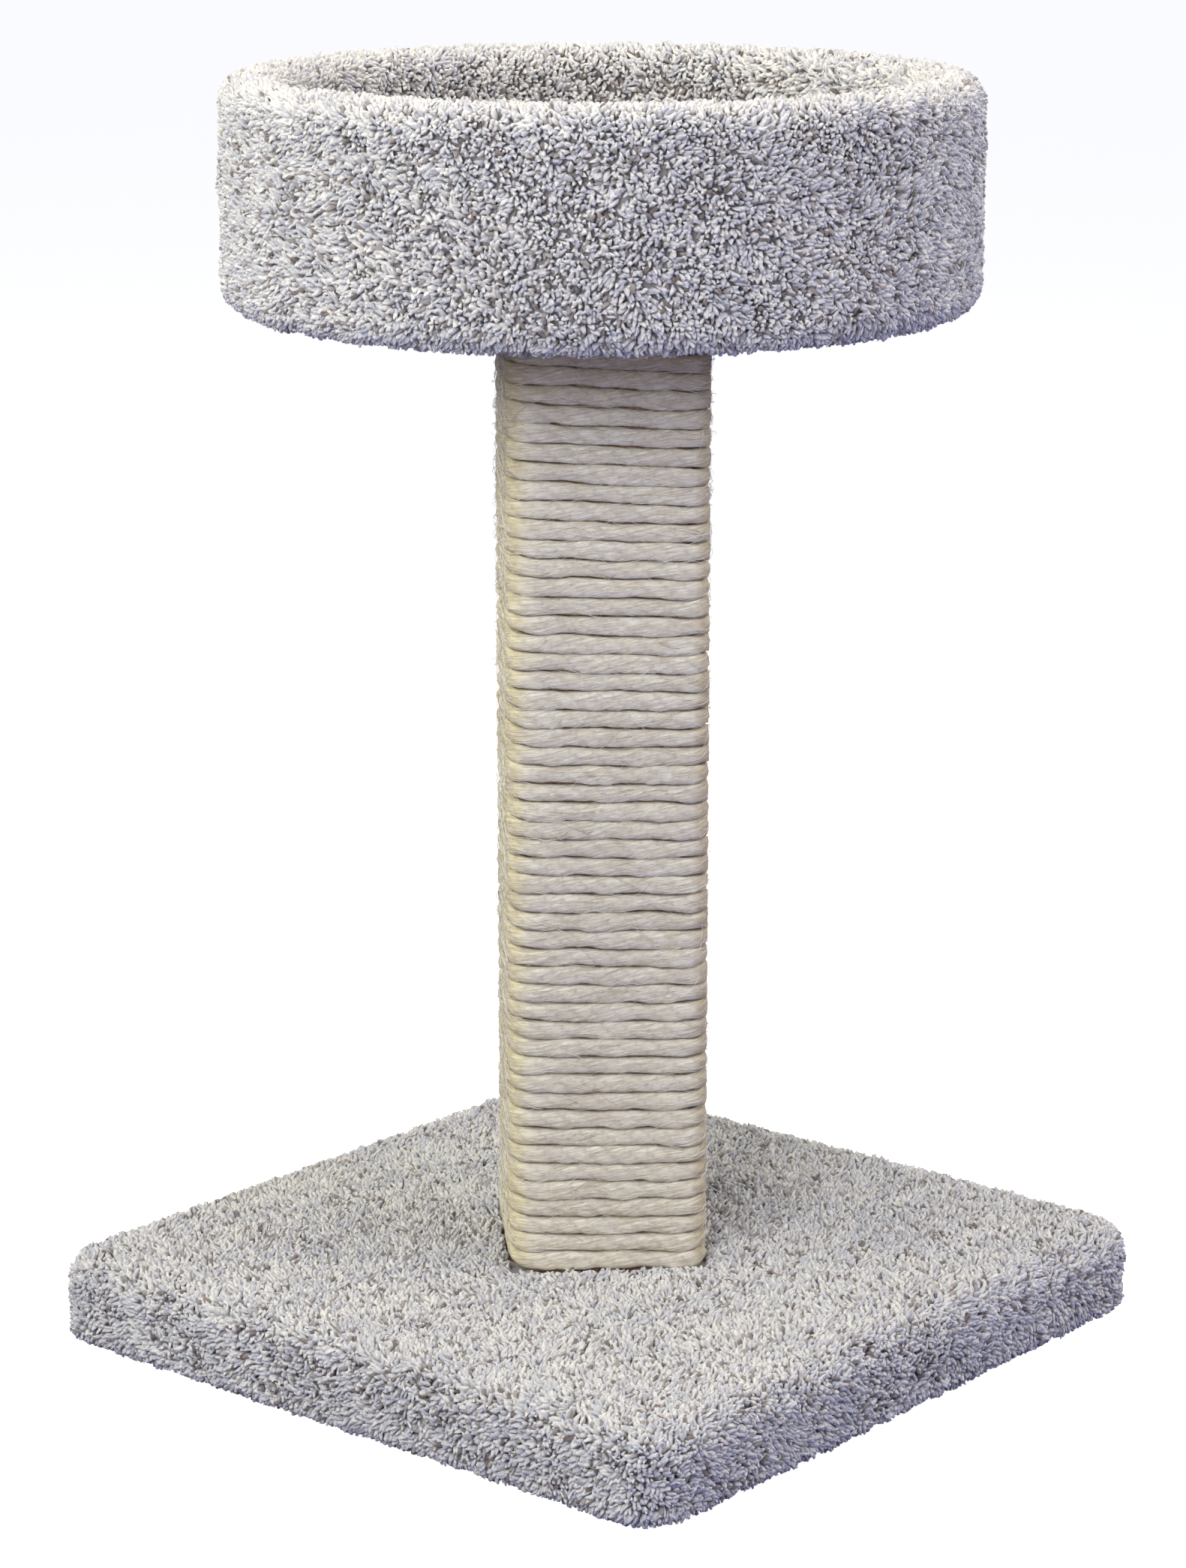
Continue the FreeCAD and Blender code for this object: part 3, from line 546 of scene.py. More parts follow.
@dataclass(frozen=True)
class DyedFinish(Finish):
    """A dull surface of one uneven colour, each noise given by its scale and strength."""

    colour: Colour
    dark: Colour
    patches: Pair
    flecks: Pair
    roughness: float
    bump: Pair

    def apply(self, paint: Paint) -> None:
        """Lay the dye and raise it by its flecks.

        Args:
            paint: The new material.
        """
        dyed = paint.mottle(self.colour, self.dark, self.patches, self.flecks)
        paint.surface({"Base Color": dyed.outputs["Colour"], "Roughness": self.roughness})
        paint.bump(dyed.outputs["Height"], *self.bump)


@dataclass(frozen=True)
class SisalFinish(Finish):
    """Sisal: pale straw fibres laid along the rope, with brown ones among them.

    The rope's UV map has the length along the rope in U and the way round it in V, both in
    metres, so streaks follow the fibres. The strand attribute is 0 in the grooves between the
    strands and 1 on their crowns, and the grooves are painted darker as shade. The turns close
    under the bed are darker by a painted shadow of the bed, and one side of the post is painted
    yellower as light and the opposite one browner as shade.
    """

    name: str = "sisal"
    straw: Colour = rgb(1.0, 0.97, 0.82)
    brown: Colour = rgb(0.54, 0.46, 0.335)
    # painted shade: the colour in the grooves between strands
    groove: Colour = rgb(0.52, 0.45, 0.36)
    warm: Colour = rgb(1.0, 0.99, 0.89)
    cool: Colour = rgb(0.96, 0.935, 0.99)
    # painted light: the tint of the post's lit side
    painted_lit_yellow: Colour = rgb(1.0, 0.965, 0.77)
    # painted shade: the tint of the opposite, shaded side
    painted_shade_tan: Colour = rgb(0.72, 0.66, 0.55)
    # painted shadow of the bed: the colour that the top turns are darkened by
    shaded: Colour = rgb(0.42, 0.35, 0.29)
    shaded_from: float = 0.515
    shaded_to: float = 0.556
    # where the painted light and shade on the post's sides begin, and how soft and strong they are
    side: float = 0.047
    side_edge: float = 3 * MM
    side_strength: float = 0.9
    across: tuple[float, float, float] = (math.sqrt(0.5), math.sqrt(0.5), 0.0)
    lay_slope: float = 0.22

    def apply(self, paint: Paint) -> None:
        """Draw fibres along the rope, and paint shade into the grooves, the bed's shadow on the top
        turns, and light and shade on the post's sides.

        Args:
            paint: The new material.
        """
        along = paint.add("UVMap", uv_map="along_rope").outputs[0]
        turn = {"Vector": along, "Angle": self.lay_slope}
        turned = paint.add("VectorRotate", turn).outputs[0]
        fibres = paint.lines(turned, 0.05, 850.0, self.straw, self.brown)
        tinge = paint.lines(along, 0.3, 190.0, self.warm, self.cool).outputs["Colour"]
        tinged = paint.blend(0.8, fibres.outputs["Colour"], tinge, "MULTIPLY")
        pale = paint.mottle(tinged, self.brown, (34.0, 0.16), (700.0, 0.08)).outputs["Colour"]
        # Painted shade: the grooves between strands take the darker groove colour.
        painted_groove_shade = paint.blend(paint.span(paint.attribute("strand"), -0.35, 0.45), self.groove, pale)
        # Painted shadow of the bed: darker towards the top, from shaded_from up to shaded_to.
        height = paint.upward(paint.place)
        painted_bed_shadow = paint.span(height, self.shaded_from, self.shaded_to, 0.0, 0.85)
        colour = paint.blend(painted_bed_shadow, painted_groove_shade, self.shaded, "MULTIPLY")
        # Painted light and shade: one side of the post is tinted yellower as if lit, the opposite
        # side browner as if in shade.
        dot = {0: paint.place, 1: self.across}
        across = paint.add("VectorMath", dot, operation="DOT_PRODUCT").outputs[1]
        edge, full = self.side_edge, self.side_strength
        near = paint.span(across, -self.side - edge, -self.side + edge, full, 0.0)
        colour = paint.blend(near, colour, self.painted_lit_yellow, "MULTIPLY")
        far = paint.span(across, self.side - edge, self.side + edge, 0.0, full)
        colour = paint.blend(far, colour, self.painted_shade_tan, "MULTIPLY")
        paint.surface({
            "Base Color": colour, "Roughness": 0.82,
            "Specular IOR Level": 0.25, "Sheen Weight": 0.15,
        })
        paint.bump(fibres.outputs["Height"], 0.9 * MM, 1.0)


@dataclass(frozen=True)
class FibreFinish(Finish):
    """Single loose fibres that stand off the rope."""

    name: str = "loose_fibre"
    pale: Colour = rgb(0.95, 0.92, 0.82)
    brown: Colour = rgb(0.42, 0.33, 0.24)

    def apply(self, paint: Paint) -> None:
        """Blend pale and brown fibres by tint, with faint flecks and no patches.

        Args:
            paint: The new material.
        """
        colour = paint.blend(paint.span(paint.attribute("tint"), 0.65, 1.0), self.pale, self.brown)
        dyed = paint.mottle(colour, self.brown, (20.0, 0.0), (900.0, 0.2))
        paint.surface({"Base Color": dyed.outputs["Colour"], "Roughness": 0.6})


@dataclass(frozen=True)
class WoodFinish(Finish):
    """Bare wood with grain along one axis, and glue lines where it is plywood.

    The grain's place is turned so that its long way lies along the piece. A ply's lines are
    thin dark bands at even heights, on faces that stand upright.
    """

    light: Colour
    dark: Colour
    turn: tuple[float, float, float] = (0.0, 0.0, 0.0)
    ply: float = 0.0
    glue_line: float = 0.35 * MM

    def apply(self, paint: Paint) -> None:
        """Draw the grain, then the glue lines of a ply.

        Args:
            paint: The new material.
        """
        mapped = paint.add("Mapping", {"Vector": paint.place, "Rotation": self.turn}).outputs[0]
        lines = paint.lines(mapped, 0.045, 170.0, self.light, self.dark)
        dyed = paint.mottle(lines.outputs["Colour"], self.dark, (14.0, 0.35), (800.0, 0.12))
        colour = dyed.outputs["Colour"]
        if self.ply:
            layer = paint.maths("PINGPONG", paint.upward(paint.place), self.ply)
            level = paint.upward(paint.add("NewGeometry").outputs["Normal"])
            side = paint.span(paint.maths("ABSOLUTE", level, 0.0), 0.3, 0.6, 1.0, 0.0)
            glue = paint.maths("MULTIPLY", paint.span(layer, 0.0, self.glue_line, 0.8, 0.0), side)
            colour = paint.blend(glue, colour, self.dark)
        rough = paint.span(lines.outputs["Height"], 0.3, 0.7, 0.55, 0.75)
        paint.surface({"Base Color": colour, "Roughness": rough})
        paint.bump(lines.outputs["Height"], 0.3 * MM, 0.5)


@dataclass(frozen=True)
class ZincFinish(Finish):
    """Zinc-plated steel, slightly blue, brushed and dulled in patches."""

    name: str = "zinc_steel"
    bright: Colour = rgb(0.62, 0.64, 0.66)
    dull: Colour = rgb(0.33, 0.34, 0.35)

    def apply(self, paint: Paint) -> None:
        """Dull the metal in patches, rougher where its flecks are high.

        Args:
            paint: The new material.
        """
        worn = paint.mottle(self.bright, self.dull, (90.0, 0.6), (1800.0, 0.3))
        rough = paint.span(worn.outputs["Height"], 0.3, 0.7, 0.28, 0.5)
        paint.surface({"Base Color": worn.outputs["Colour"], "Metallic": 1.0, "Roughness": rough})


# ---- carpet

ROW_STEP = 0.866  # from row to row of a triangular grid, as a share of its spacing
JITTER = 0.4  # how far a tuft strays from its even place, as a share of the spacing
PALE_TINTS, DARK_TINTS = 0.84, 0.16  # the shares of the tint's range that are pale and dark
FLOOR_GAP = 0.1 * MM  # nothing of the pile lies lower than this
HEM_TIPS = 0.2 * MM  # where a hem's tips lie above the lowest part of what it covers


class Cut(Enum):
    """How the pile stands: as it grows, sheltered by the bed, or pressed flat in a hem."""

    STANDING = "standing"
    SHELTERED = "sheltered"
    PRESSED = "pressed"


@dataclass(frozen=True)
class Pile:
    """The size of one carpet's tufts, and how they lie.

    belly is a tuft's radius where it is widest, girths the range it is multiplied by, and
    widths the radii at levels as shares of it. sway and scatter set the smooth and random lean,
    most_lean its greatest share of the length, and set_back how much of it moves the root.
    uneven, uneven_most and wavy vary the length. tip_slope tilts the tip's ring, and patches
    are the slow and quick changes of tint over the carpet.
    """

    spacing: float = 2.6 * MM
    length: float = 7.5 * MM
    belly: float = 1.75 * MM
    lean: float = 1.5 * MM
    scatter: float = 1.75 * MM
    clump: float = 0.8 * MM
    uneven: float = 0.075
    uneven_most: float = 1.6
    wavy: float = 0.06
    sway: float = 0.6
    most_lean: float = 0.75
    set_back: float = 0.55
    tip_slope: float = 0.35
    girths: Pair = (0.72, 1.3)
    patches: Pair = (0.06, 0.05)
    levels: tuple[float, float, float] = (0.0, 0.70, 1.0)
    widths: tuple[float, float, float] = (0.7, 1.0, 0.42)
    sides: int = 3


PILES = {
    Cut.STANDING: Pile(),
    Cut.SHELTERED: Pile(spacing=3.0 * MM, belly=2.0 * MM),
    Cut.PRESSED: Pile(
        spacing=4.2 * MM, length=2.6 * MM, belly=1.8 * MM, lean=2.4 * MM, scatter=1.8 * MM
    ),
}


@dataclass
class Tufts:
    """Tufts of yarn on a surface, given by where their tips lie.

    A tuft is a few small rings of vertices along a leaning curve, closed at both ends. With h
    from 0 at the root to 1 at the tip, the curve is root + normal * length * h + lean * h * h.
    The lean is smooth noise that turns slowly over the carpet plus a random part, and tips are
    drawn together into clumps by a second, finer noise.
    """

    pile: Pile
    seed: int
    slow: Waves = field(default_factory=lambda: Waves(0.060, 11))
    quick: Waves = field(default_factory=lambda: Waves(0.017, 12))
    fine: Waves = field(default_factory=lambda: Waves(0.0085, 13, 12))

    @property
    def step(self) -> float:
        """The distance from one row of tufts to the next."""
        return self.pile.spacing * ROW_STEP

    def rows(self, lengths: np.ndarray) -> Arrays:
        """Spread tufts evenly, with jitter, over rows of different lengths.

        Args:
            lengths: How long each row is.

        Returns:
            The row that each tuft is in, and its share of the way along the row.
        """
        counts = np.maximum(np.round(lengths / self.pile.spacing).astype(int), 1)
        row = np.repeat(np.arange(len(counts)), counts)
        first = np.repeat(np.cumsum(counts) - counts, counts)
        rng = np.random.default_rng(self.seed)
        index = np.arange(len(row)) - first + 0.5 * (row % 2)
        share = (index + rng.uniform(-JITTER, JITTER, len(row))) / counts[row]
        return row, share % 1.0

    def band(
        self, length: float, girth: Callable[[np.ndarray], np.ndarray]
    ) -> Arrays:
        """Spread tufts over a closed band.

        Args:
            length: The length of the band's profile.
            girth: Gives the length of the way round at lengths along the profile.

        Returns:
            Each tuft's length along the profile, and its share of the way round.
        """
        ways = np.arange(0.5, length / self.step) * self.step
        row, share = self.rows(girth(ways))
        rng = np.random.default_rng(self.seed + 1)
        jitter = rng.uniform(-JITTER, JITTER, len(row)) * self.pile.spacing
        return np.clip(ways[row] + jitter, 0, length), share

    def field(self, half: float) -> np.ndarray:
        """Points of a jittered triangular grid over a square.

        Args:
            half: Half the square's side.

        Returns:
            The points' x and y, one pair per row.
        """
        step = self.pile.spacing
        count = int(2 * half / step) + 2
        rng = np.random.default_rng(self.seed + 1)
        row, column = np.divmod(np.arange(count * int(count / ROW_STEP)), count)
        across = (column + 0.5 * (row % 2)) * step
        spots = np.stack([across, row * step * ROW_STEP], axis=1) - half
        return spots + rng.uniform(-0.38, 0.38, spots.shape) * step

    def grow(
        self,
        name: str,
        tips: np.ndarray,
        normals: np.ndarray,
        yarn: Material,
        push: np.ndarray | None = None,
        short: np.ndarray | None = None,
        pale: float = 0.84,
    ) -> Piece:
        """Make one piece of the carpet's pile.

        Args:
            name: The piece's name.
            tips: Where each tuft's tip lies before it leans.
            normals: Which way the carpet faces there.
            yarn: The tufts' finish.
            push: An extra lean for each tuft, such as away from the post.
            short: How much of its full length each tuft has.
            pale: The share of tufts without a dark yarn.

        Returns:
            The piece.
        """
        pile, count = self.pile, len(tips)
        rng = np.random.default_rng(self.seed + 2)
        lean = pile.sway * pile.lean * (self.slow.vector(tips) + self.quick.vector(tips))
        lean += rng.normal(scale=pile.scatter, size=tips.shape)
        if push is not None:
            lean += push
        gather = pile.clump * self.fine.vector(tips)
        lean, gather = (
            way - (way * normals).sum(axis=1, keepdims=True) * normals for way in (lean, gather)
        )
        reach = np.linalg.norm(lean, axis=1, keepdims=True)
        furthest = pile.most_lean * pile.length
        lean *= np.minimum(1.0, furthest / np.maximum(reach, 1e-9))
        most = pile.uneven_most
        length = pile.length * (1 + pile.uneven * rng.normal(size=count).clip(-most, most))
        length *= 1 + pile.wavy * self.quick.value(tips)
        if short is not None:
            length *= short
        roots = tips - normals * pile.length - pile.set_back * lean
        side = unit(np.cross(normals, unit(rng.normal(size=tips.shape))))
        other = np.cross(normals, side)
        spin = TURN * np.arange(pile.sides) / pile.sides
        levels = np.array(pile.levels)
        rise = (length[:, None] * levels)[..., None] * normals[:, None]
        middles = roots[:, None] + rise + (lean + gather)[:, None] * (levels**2)[:, None]
        around = side[:, None] * np.cos(spin)[:, None] + other[:, None] * np.sin(spin)[:, None]
        radii = (pile.belly * rng.uniform(*pile.girths, count))[:, None] * np.array(pile.widths)
        rings = middles[:, :, None] + around[:, None] * radii[..., None, None]
        ahead = (around * unit(lean)[:, None]).sum(axis=2)
        slope = pile.tip_slope * np.minimum(reach, furthest) / pile.length * levels
        tilt = ((radii * slope)[..., None] * ahead[:, None])[..., None]
        rings -= tilt * normals[:, None, None]
        points = rings.reshape(-1, 3)
        points[:, 2] = np.maximum(points[:, 2], FLOOR_GAP)
        faces = tube_faces(count, len(levels), pile.sides)
        piece = new_piece(name, points, faces, yarn)
        slow_patch, quick_patch = pile.patches
        patch = slow_patch * self.slow.value(tips) + quick_patch * self.quick.value(tips)
        draw = rng.uniform(size=count)
        light = (PALE_TINTS * draw / pale + patch).clip(0, PALE_TINTS)
        tint = np.where(draw < pale, light, 1 - DARK_TINTS * (1 - draw) / (1 - pale))
        mark_points(piece, "tint", np.repeat(tint, pile.sides * len(levels)))
        mark_points(piece, "depth", np.tile(np.repeat(pile.levels, pile.sides), count))
        LOG.info("%s: %d tufts", name, count)
        return piece

    def level(
        self, name: str, spots: np.ndarray, height: float, facing: np.ndarray, yarn: Material
    ) -> Piece:
        """Make one level piece of pile."""
        tips = np.column_stack([spots, np.full(len(spots), height)])
        return self.grow(name, tips, np.tile(facing, (len(tips), 1)), yarn)


def halves(name: str, first: np.ndarray) -> list[tuple[str, np.ndarray]]:
    """The names of a piece's two halves, each with what it has."""
    return [(name + "_a", first), (name + "_b", ~first)]


def swept_skin(rings: np.ndarray) -> Arrays:
    """A surface through closed rings of vertices, joined one to the next."""
    return rings.reshape(-1, 3), grid_faces(rings.shape[0], rings.shape[1])


@dataclass
class BaseCover:
    """The carpet on the base: standing pile on its top and sides, and a hem pressed flat below.

    The outline at an inset d is a square of half side - d with corners of radius corner - d.
    Past the corner's radius the straights move in and the corners stay where they are.
    The side's profile is a low round, an upright and a top round, by its length along itself.
    hem_skin is the height of the backing's last two rings, and top_insets those over the top.
    """

    half: float
    top: float
    yarn: Material
    backing: Material
    corner: float = 28 * MM
    low_round: float = 8 * MM
    top_round: float = 18 * MM
    thick: float = 12 * MM
    skin: float = 7.0 * MM
    hem_wide: float = 38 * MM
    post_half: float = 54.35 * MM
    post_turn: float = math.pi / 4
    skin_points: int = 160
    hem_skin: Pair = (2.9 * MM, 1.0 * MM)
    top_insets: tuple[float, float, float] = (60 * MM, 110 * MM, 160 * MM)
    under_rope: float = 8 * MM
    below_top: float = 20 * MM
    rope_gap: float = 0.3 * MM
    push: float = 2.6 * MM
    push_reach: float = 5 * MM
    crush: float = 0.26
    crush_reach: float = 3.5 * MM

    def outline(self, share: np.ndarray, inset: np.ndarray) -> Arrays:
        """Points on the rounded square at an inset, and the way outwards there.

        Args:
            share: The share of the way round, from 0 to 1.
            inset: How far inside the outer edge.

        Returns:
            The points' x and y, and the outward directions.
        """
        straight = 2 * (self.half - self.corner)
        radius = np.maximum(self.corner - inset, 0.5 * MM)
        arc = radius * QUARTER
        quarter, part = np.divmod(np.asarray(share) * 4, 1.0)
        run = part * (straight + arc)
        on_line = run < straight
        angle = np.where(on_line, 0.0, (run - straight) / radius)
        reach = self.half - inset
        centre = self.half - self.corner
        x = np.where(on_line, reach, centre + radius * np.cos(angle))
        y = np.where(on_line, run - straight / 2, centre + radius * np.sin(angle))
        turn = quarter * math.pi / 2
        return turned(x, y, turn), circle(angle + turn)

    def profile(self, way: np.ndarray, inside: float = 0.0) -> tuple[np.ndarray, ...]:
        """The side's profile by its length, from the low round's start to the top round's end.

        Args:
            way: The length along the profile.
            inside: How far under the outer surface the result lies.

        Returns:
            The inset, the height, and the outward and upward parts of the normal.
        """
        low = self.low_round * QUARTER
        upright = self.top - self.low_round - self.top_round
        lift = np.clip((way - low - upright) / self.top_round, 0, QUARTER)
        dip = np.clip((low - way) / self.low_round, 0, QUARTER)
        out = np.cos(lift) * np.cos(dip)
        rise = np.sin(lift) - np.sin(dip)
        middle = np.clip(way - low, 0, upright)
        inset = self.top_round * (1 - np.cos(lift)) + self.low_round * (1 - np.cos(dip))
        height = self.low_round + middle + self.top_round * np.sin(lift)
        height -= self.low_round * np.sin(dip)
        return inset + inside * out, height - inside * rise, out, rise

    def profile_length(self) -> float:
        """How long the side's profile is."""
        rounds = (self.low_round + self.top_round) * math.pi / 2
        return rounds + self.top - self.low_round - self.top_round

    def post_distance(self, spots: np.ndarray) -> Arrays:
        """How far points are from the rope's outside, and the way from the post.

        Args:
            spots: The points' x and y.

        Returns:
            The distances, negative inside the post, and the directions.
        """
        cos, sin = math.cos(self.post_turn), math.sin(self.post_turn)
        local = spots @ np.array([[cos, -sin], [sin, cos]])
        gap = np.abs(local) - self.post_half
        outside = np.linalg.norm(np.maximum(gap, 0), axis=1)
        distance = np.where((gap < 0).all(axis=1), gap.max(axis=1), outside)
        away = np.where(gap > 0, np.sign(local) * np.maximum(gap, 1e-6), 0.0)
        away = unit(away) @ np.array([[cos, sin], [-sin, cos]])
        return distance, away

    def build_backing(self) -> Piece:
        """The dark woven skin under the tufts, closed over the top and down to the hem's edge.

        Returns:
            The piece.
        """
        share = np.linspace(0, 1, self.skin_points + 1)[:-1]
        way = np.linspace(0, self.profile_length(), 20)
        inset, height, _, _ = self.profile(way, self.thick - self.skin)
        inset = np.minimum(inset, self.corner - 2 * MM)
        height = np.maximum(height, self.hem_skin[1])
        hem = self.thick + self.hem_wide
        insets = np.concatenate([[hem, hem - 1 * MM], inset, self.top_insets])
        heights = np.concatenate([self.hem_skin, height, np.full(len(self.top_insets), height[-1])])
        rings = []
        for step, level in zip(insets, heights):
            spots, _ = self.outline(share, np.full(share.shape, step))
            rings.append(np.column_stack([spots, np.full(len(spots), level)]))
        points, faces = swept_skin(np.array(rings))
        middles = points[faces].mean(axis=1)
        keep = self.post_distance(middles[:, :2])[0] > -self.under_rope
        keep |= middles[:, 2] < self.below_top
        return new_piece("base_carpet_backing", points, [faces[keep]], self.backing)

    def build(self) -> list[Piece]:
        """Grow the whole cover."""
        pieces = [self.build_backing()]
        return pieces + self.build_top() + self.build_side() + [self.build_hem()]

    def build_top(self) -> list[Piece]:
        """The top's pile, which leans away from the post and is shorter beside it.

        With g the gap to the rope, tufts lean away by push * e^(-g / push_reach) and lose the
        share crush * e^(-g / crush_reach) of their length.

        Returns:
            The two halves.
        """
        tufts = Tufts(PILES[Cut.STANDING], 100)
        spots = tufts.field(self.half)
        flat = np.abs(spots) <= self.half - self.top_round
        beyond = np.abs(spots) - (self.half - self.corner)
        rounded = np.linalg.norm(np.maximum(beyond, 0), axis=1) <= self.corner - self.top_round
        gap, away = self.post_distance(spots)
        kept = flat.all(axis=1) & rounded & (gap > self.rope_gap)
        spots, gap, away = spots[kept], gap[kept], away[kept]
        tips = np.column_stack([spots, np.full(len(spots), self.top)])
        push = self.push * np.exp(-gap / self.push_reach)
        push = np.column_stack([away, np.zeros(len(away))]) * push[:, None]
        short = 1 - self.crush * np.exp(-gap / self.crush_reach)
        normals = np.tile(UP, (len(tips), 1))
        return [
            tufts.grow(name, tips[part], normals[part], self.yarn, push[part], short[part])
            for name, part in halves("base_pile_top", spots[:, 0] < 0)
        ]

    def build_side(self) -> list[Piece]:
        """The pile of the four sides and their rounds.

        Returns:
            The two halves.
        """

        def girth(ways: np.ndarray) -> np.ndarray:
            """The length of the way round at lengths along the profile."""
            return 8 * (self.half - self.corner) + TURN * (self.corner - self.profile(ways)[0])

        tufts = Tufts(PILES[Cut.STANDING], 120)
        way, share = tufts.band(self.profile_length(), girth)
        inset, height, out, rise = self.profile(way)
        spots, facing = self.outline(share, inset)
        tips = np.column_stack([spots, height])
        normals = np.column_stack([facing * out[:, None], rise])
        return [
            tufts.grow(name, tips[part], normals[part], self.yarn)
            for name, part in halves("base_pile_side", share < 0.5)
        ]

    def build_hem(self) -> Piece:
        """The pile of the hem under the base, pressed flat by the base's weight.

        Returns:
            The piece.
        """
        tufts = Tufts(PILES[Cut.PRESSED], 140)
        insets = np.arange(
            self.low_round + 0.5 * tufts.step, self.thick + self.hem_wide, tufts.step
        )
        sides = 8 * (self.half - np.maximum(self.corner, insets))
        around = sides + TURN * np.maximum(self.corner - insets, 0)
        row, share = tufts.rows(around)
        spots = self.mitred(share, insets[row])
        return tufts.level("base_pile_hem", spots, HEM_TIPS, -UP, self.yarn)

    def mitred(self, share: np.ndarray, inset: np.ndarray) -> np.ndarray:
        """Points on the outline, which has sharp corners where the inset passes their radius.

        Args:
            share: The share of the way round, from 0 to 1.
            inset: How far inside the outer edge.

        Returns:
            The points' x and y.
        """
        rounded = np.minimum(inset, self.corner - 0.6 * MM)
        scale = (self.half - inset) / (self.half - rounded)
        return self.outline(share, rounded)[0] * scale[:, None]


@dataclass
class BedCover:
    """The carpet on the bed: a band over the wall and its rim, and a round piece on the floor.

    The band's profile is a line in radius and height, measured by its length: a low round, the
    outer wall, the rim's two rounds with a flat between them, and the lining down to the floor.
    """

    radius: float
    bottom: float
    rim: float
    floor: float
    yarn: Material
    backing: Material
    lining: float = 168 * MM
    low_round: float = 16 * MM
    rim_round: float = 15 * MM
    thick: float = 12 * MM
    skin: float = 7.0 * MM
    hem_inside: float = 150 * MM
    skin_points: int = 128
    lining_clear: float = 8 * MM
    rim_pale: float = 0.95

    def corners(self) -> list[tuple[float, float, float, float, float]]:
        """The profile's six stretches, from the low round to the lining.

        Returns:
            For each, the normal's angle at its start, the normal's turn, the length, and the
            radius and height of its centre, or of its start where it is straight.
        """
        wall = self.rim - self.bottom - self.low_round - self.rim_round
        flat = self.radius - self.lining - 2 * self.rim_round
        inner = self.rim - self.rim_round - self.floor
        low, bend = self.low_round * QUARTER, self.rim_round * QUARTER
        low_z, rim_z = self.bottom + self.low_round, self.rim - self.rim_round
        outer_r = self.radius - self.rim_round
        return [
            (-QUARTER, QUARTER, low, self.radius - self.low_round, low_z),
            (0.0, 0.0, wall, self.radius, low_z),
            (0.0, QUARTER, bend, outer_r, rim_z),
            (QUARTER, 0.0, flat, outer_r, self.rim),
            (QUARTER, QUARTER, bend, self.lining + self.rim_round, rim_z),
            (2 * QUARTER, 0.0, inner, self.lining, rim_z),
        ]

    def profile(self, way: np.ndarray, inside: float = 0.0) -> tuple[np.ndarray, ...]:
        """The band's profile by its length from the low round's start.

        On a round, the point is the round's centre plus its radius along the normal. On a
        straight, it is the start plus the length left, square to the normal.

        Args:
            way: The length along the profile.
            inside: How far under the outer surface the result lies.

        Returns:
            The radius, the height, and the outward and upward parts of the normal.
        """
        out_r, out_z, out_a = (np.zeros_like(way) for _ in range(3))
        start = 0.0
        for angle, turn, length, centre_r, centre_z in self.corners():
            here = (way >= start - 1e-9) & (way <= start + length + 1e-9)
            share = np.clip((way - start) / length, 0, 1)
            facing = angle + turn * share
            curve = length / turn if turn else 0.0
            run = 0.0 if turn else 1.0
            r = centre_r + curve * np.cos(facing) - run * (way - start) * np.sin(facing)
            z = centre_z + curve * np.sin(facing) + run * (way - start) * np.cos(facing)
            out_r, out_z, out_a = (
                np.where(here, new, old) for new, old in ((r, out_r), (z, out_z), (facing, out_a))
            )
            start += length
        out, rise = np.cos(out_a), np.sin(out_a)
        return out_r - inside * out, out_z - inside * rise, out, rise

    def profile_length(self) -> float:
        """How long the band's profile is."""
        return sum(length for _, _, length, _, _ in self.corners())

    def build_backing(self) -> Piece:
        """The dark woven skin under the tufts, from the hem over the rim and across the floor.

        Returns:
            The piece.
        """
        way = np.linspace(0, self.profile_length(), 40)
        r, z, _, _ = self.profile(way, self.thick - self.skin)
        z = np.maximum(z, self.bottom + 1.0 * MM)
        hem = [self.hem_inside, self.hem_inside + 1 * MM]
        radii = np.concatenate([hem, r, [self.lining, 90 * MM, 0.5 * MM]])
        hem_heights = [self.bottom + 2.9 * MM, self.bottom + 1.0 * MM]
        heights = np.concatenate([hem_heights, z, [self.floor + self.skin] * 3])
        count = self.skin_points
        spots = circle(TURN * np.arange(count) / count) * radii[:, None, None]
        levels = np.tile(heights[:, None, None], (1, count, 1))
        points, faces = swept_skin(np.concatenate([spots, levels], axis=-1))
        cap = np.arange(count)[None] + len(points) - count
        return new_piece("bed_carpet_backing", points, [faces, cap], self.backing)

    def build(self) -> list[Piece]:
        """Grow the whole cover."""
        pieces = [self.build_backing()]
        return pieces + self.build_band() + [self.build_floor(), self.build_hem()]

    def build_band(self) -> list[Piece]:
        """The pile of the wall, the rim and the lining, which ends a little above the floor.

        Returns:
            The pieces.
        """
        tufts = Tufts(PILES[Cut.STANDING], 200)
        way, share = tufts.band(self.profile_length(), lambda ways: TURN * self.profile(ways)[0])
        r, z, out, rise = self.profile(way)
        around = circle(TURN * share)
        tips = np.column_stack([around * r[:, None], z])
        normals = np.column_stack([around * out[:, None], rise])
        upright = self.rim - self.bottom - self.low_round - self.rim_round
        wall = self.low_round * QUARTER + upright
        over = wall + self.rim_round * math.pi + self.radius - self.lining - 2 * self.rim_round
        on_wall, first = way < wall, share < 0.5
        lining = (way >= over) & (z > self.floor + self.lining_clear)
        areas = {
            "bed_pile_wall_a": on_wall & first,
            "bed_pile_wall_b": on_wall & ~first,
            "bed_pile_rim": ~on_wall & (way < over),
            "bed_pile_lining_a": lining & first,
            "bed_pile_lining_b": lining & ~first,
        }
        pales = {"bed_pile_rim": self.rim_pale}
        return [
            tufts.grow(name, tips[part], normals[part], self.yarn, pale=pales.get(name, PALE_TINTS))
            for name, part in areas.items()
        ]

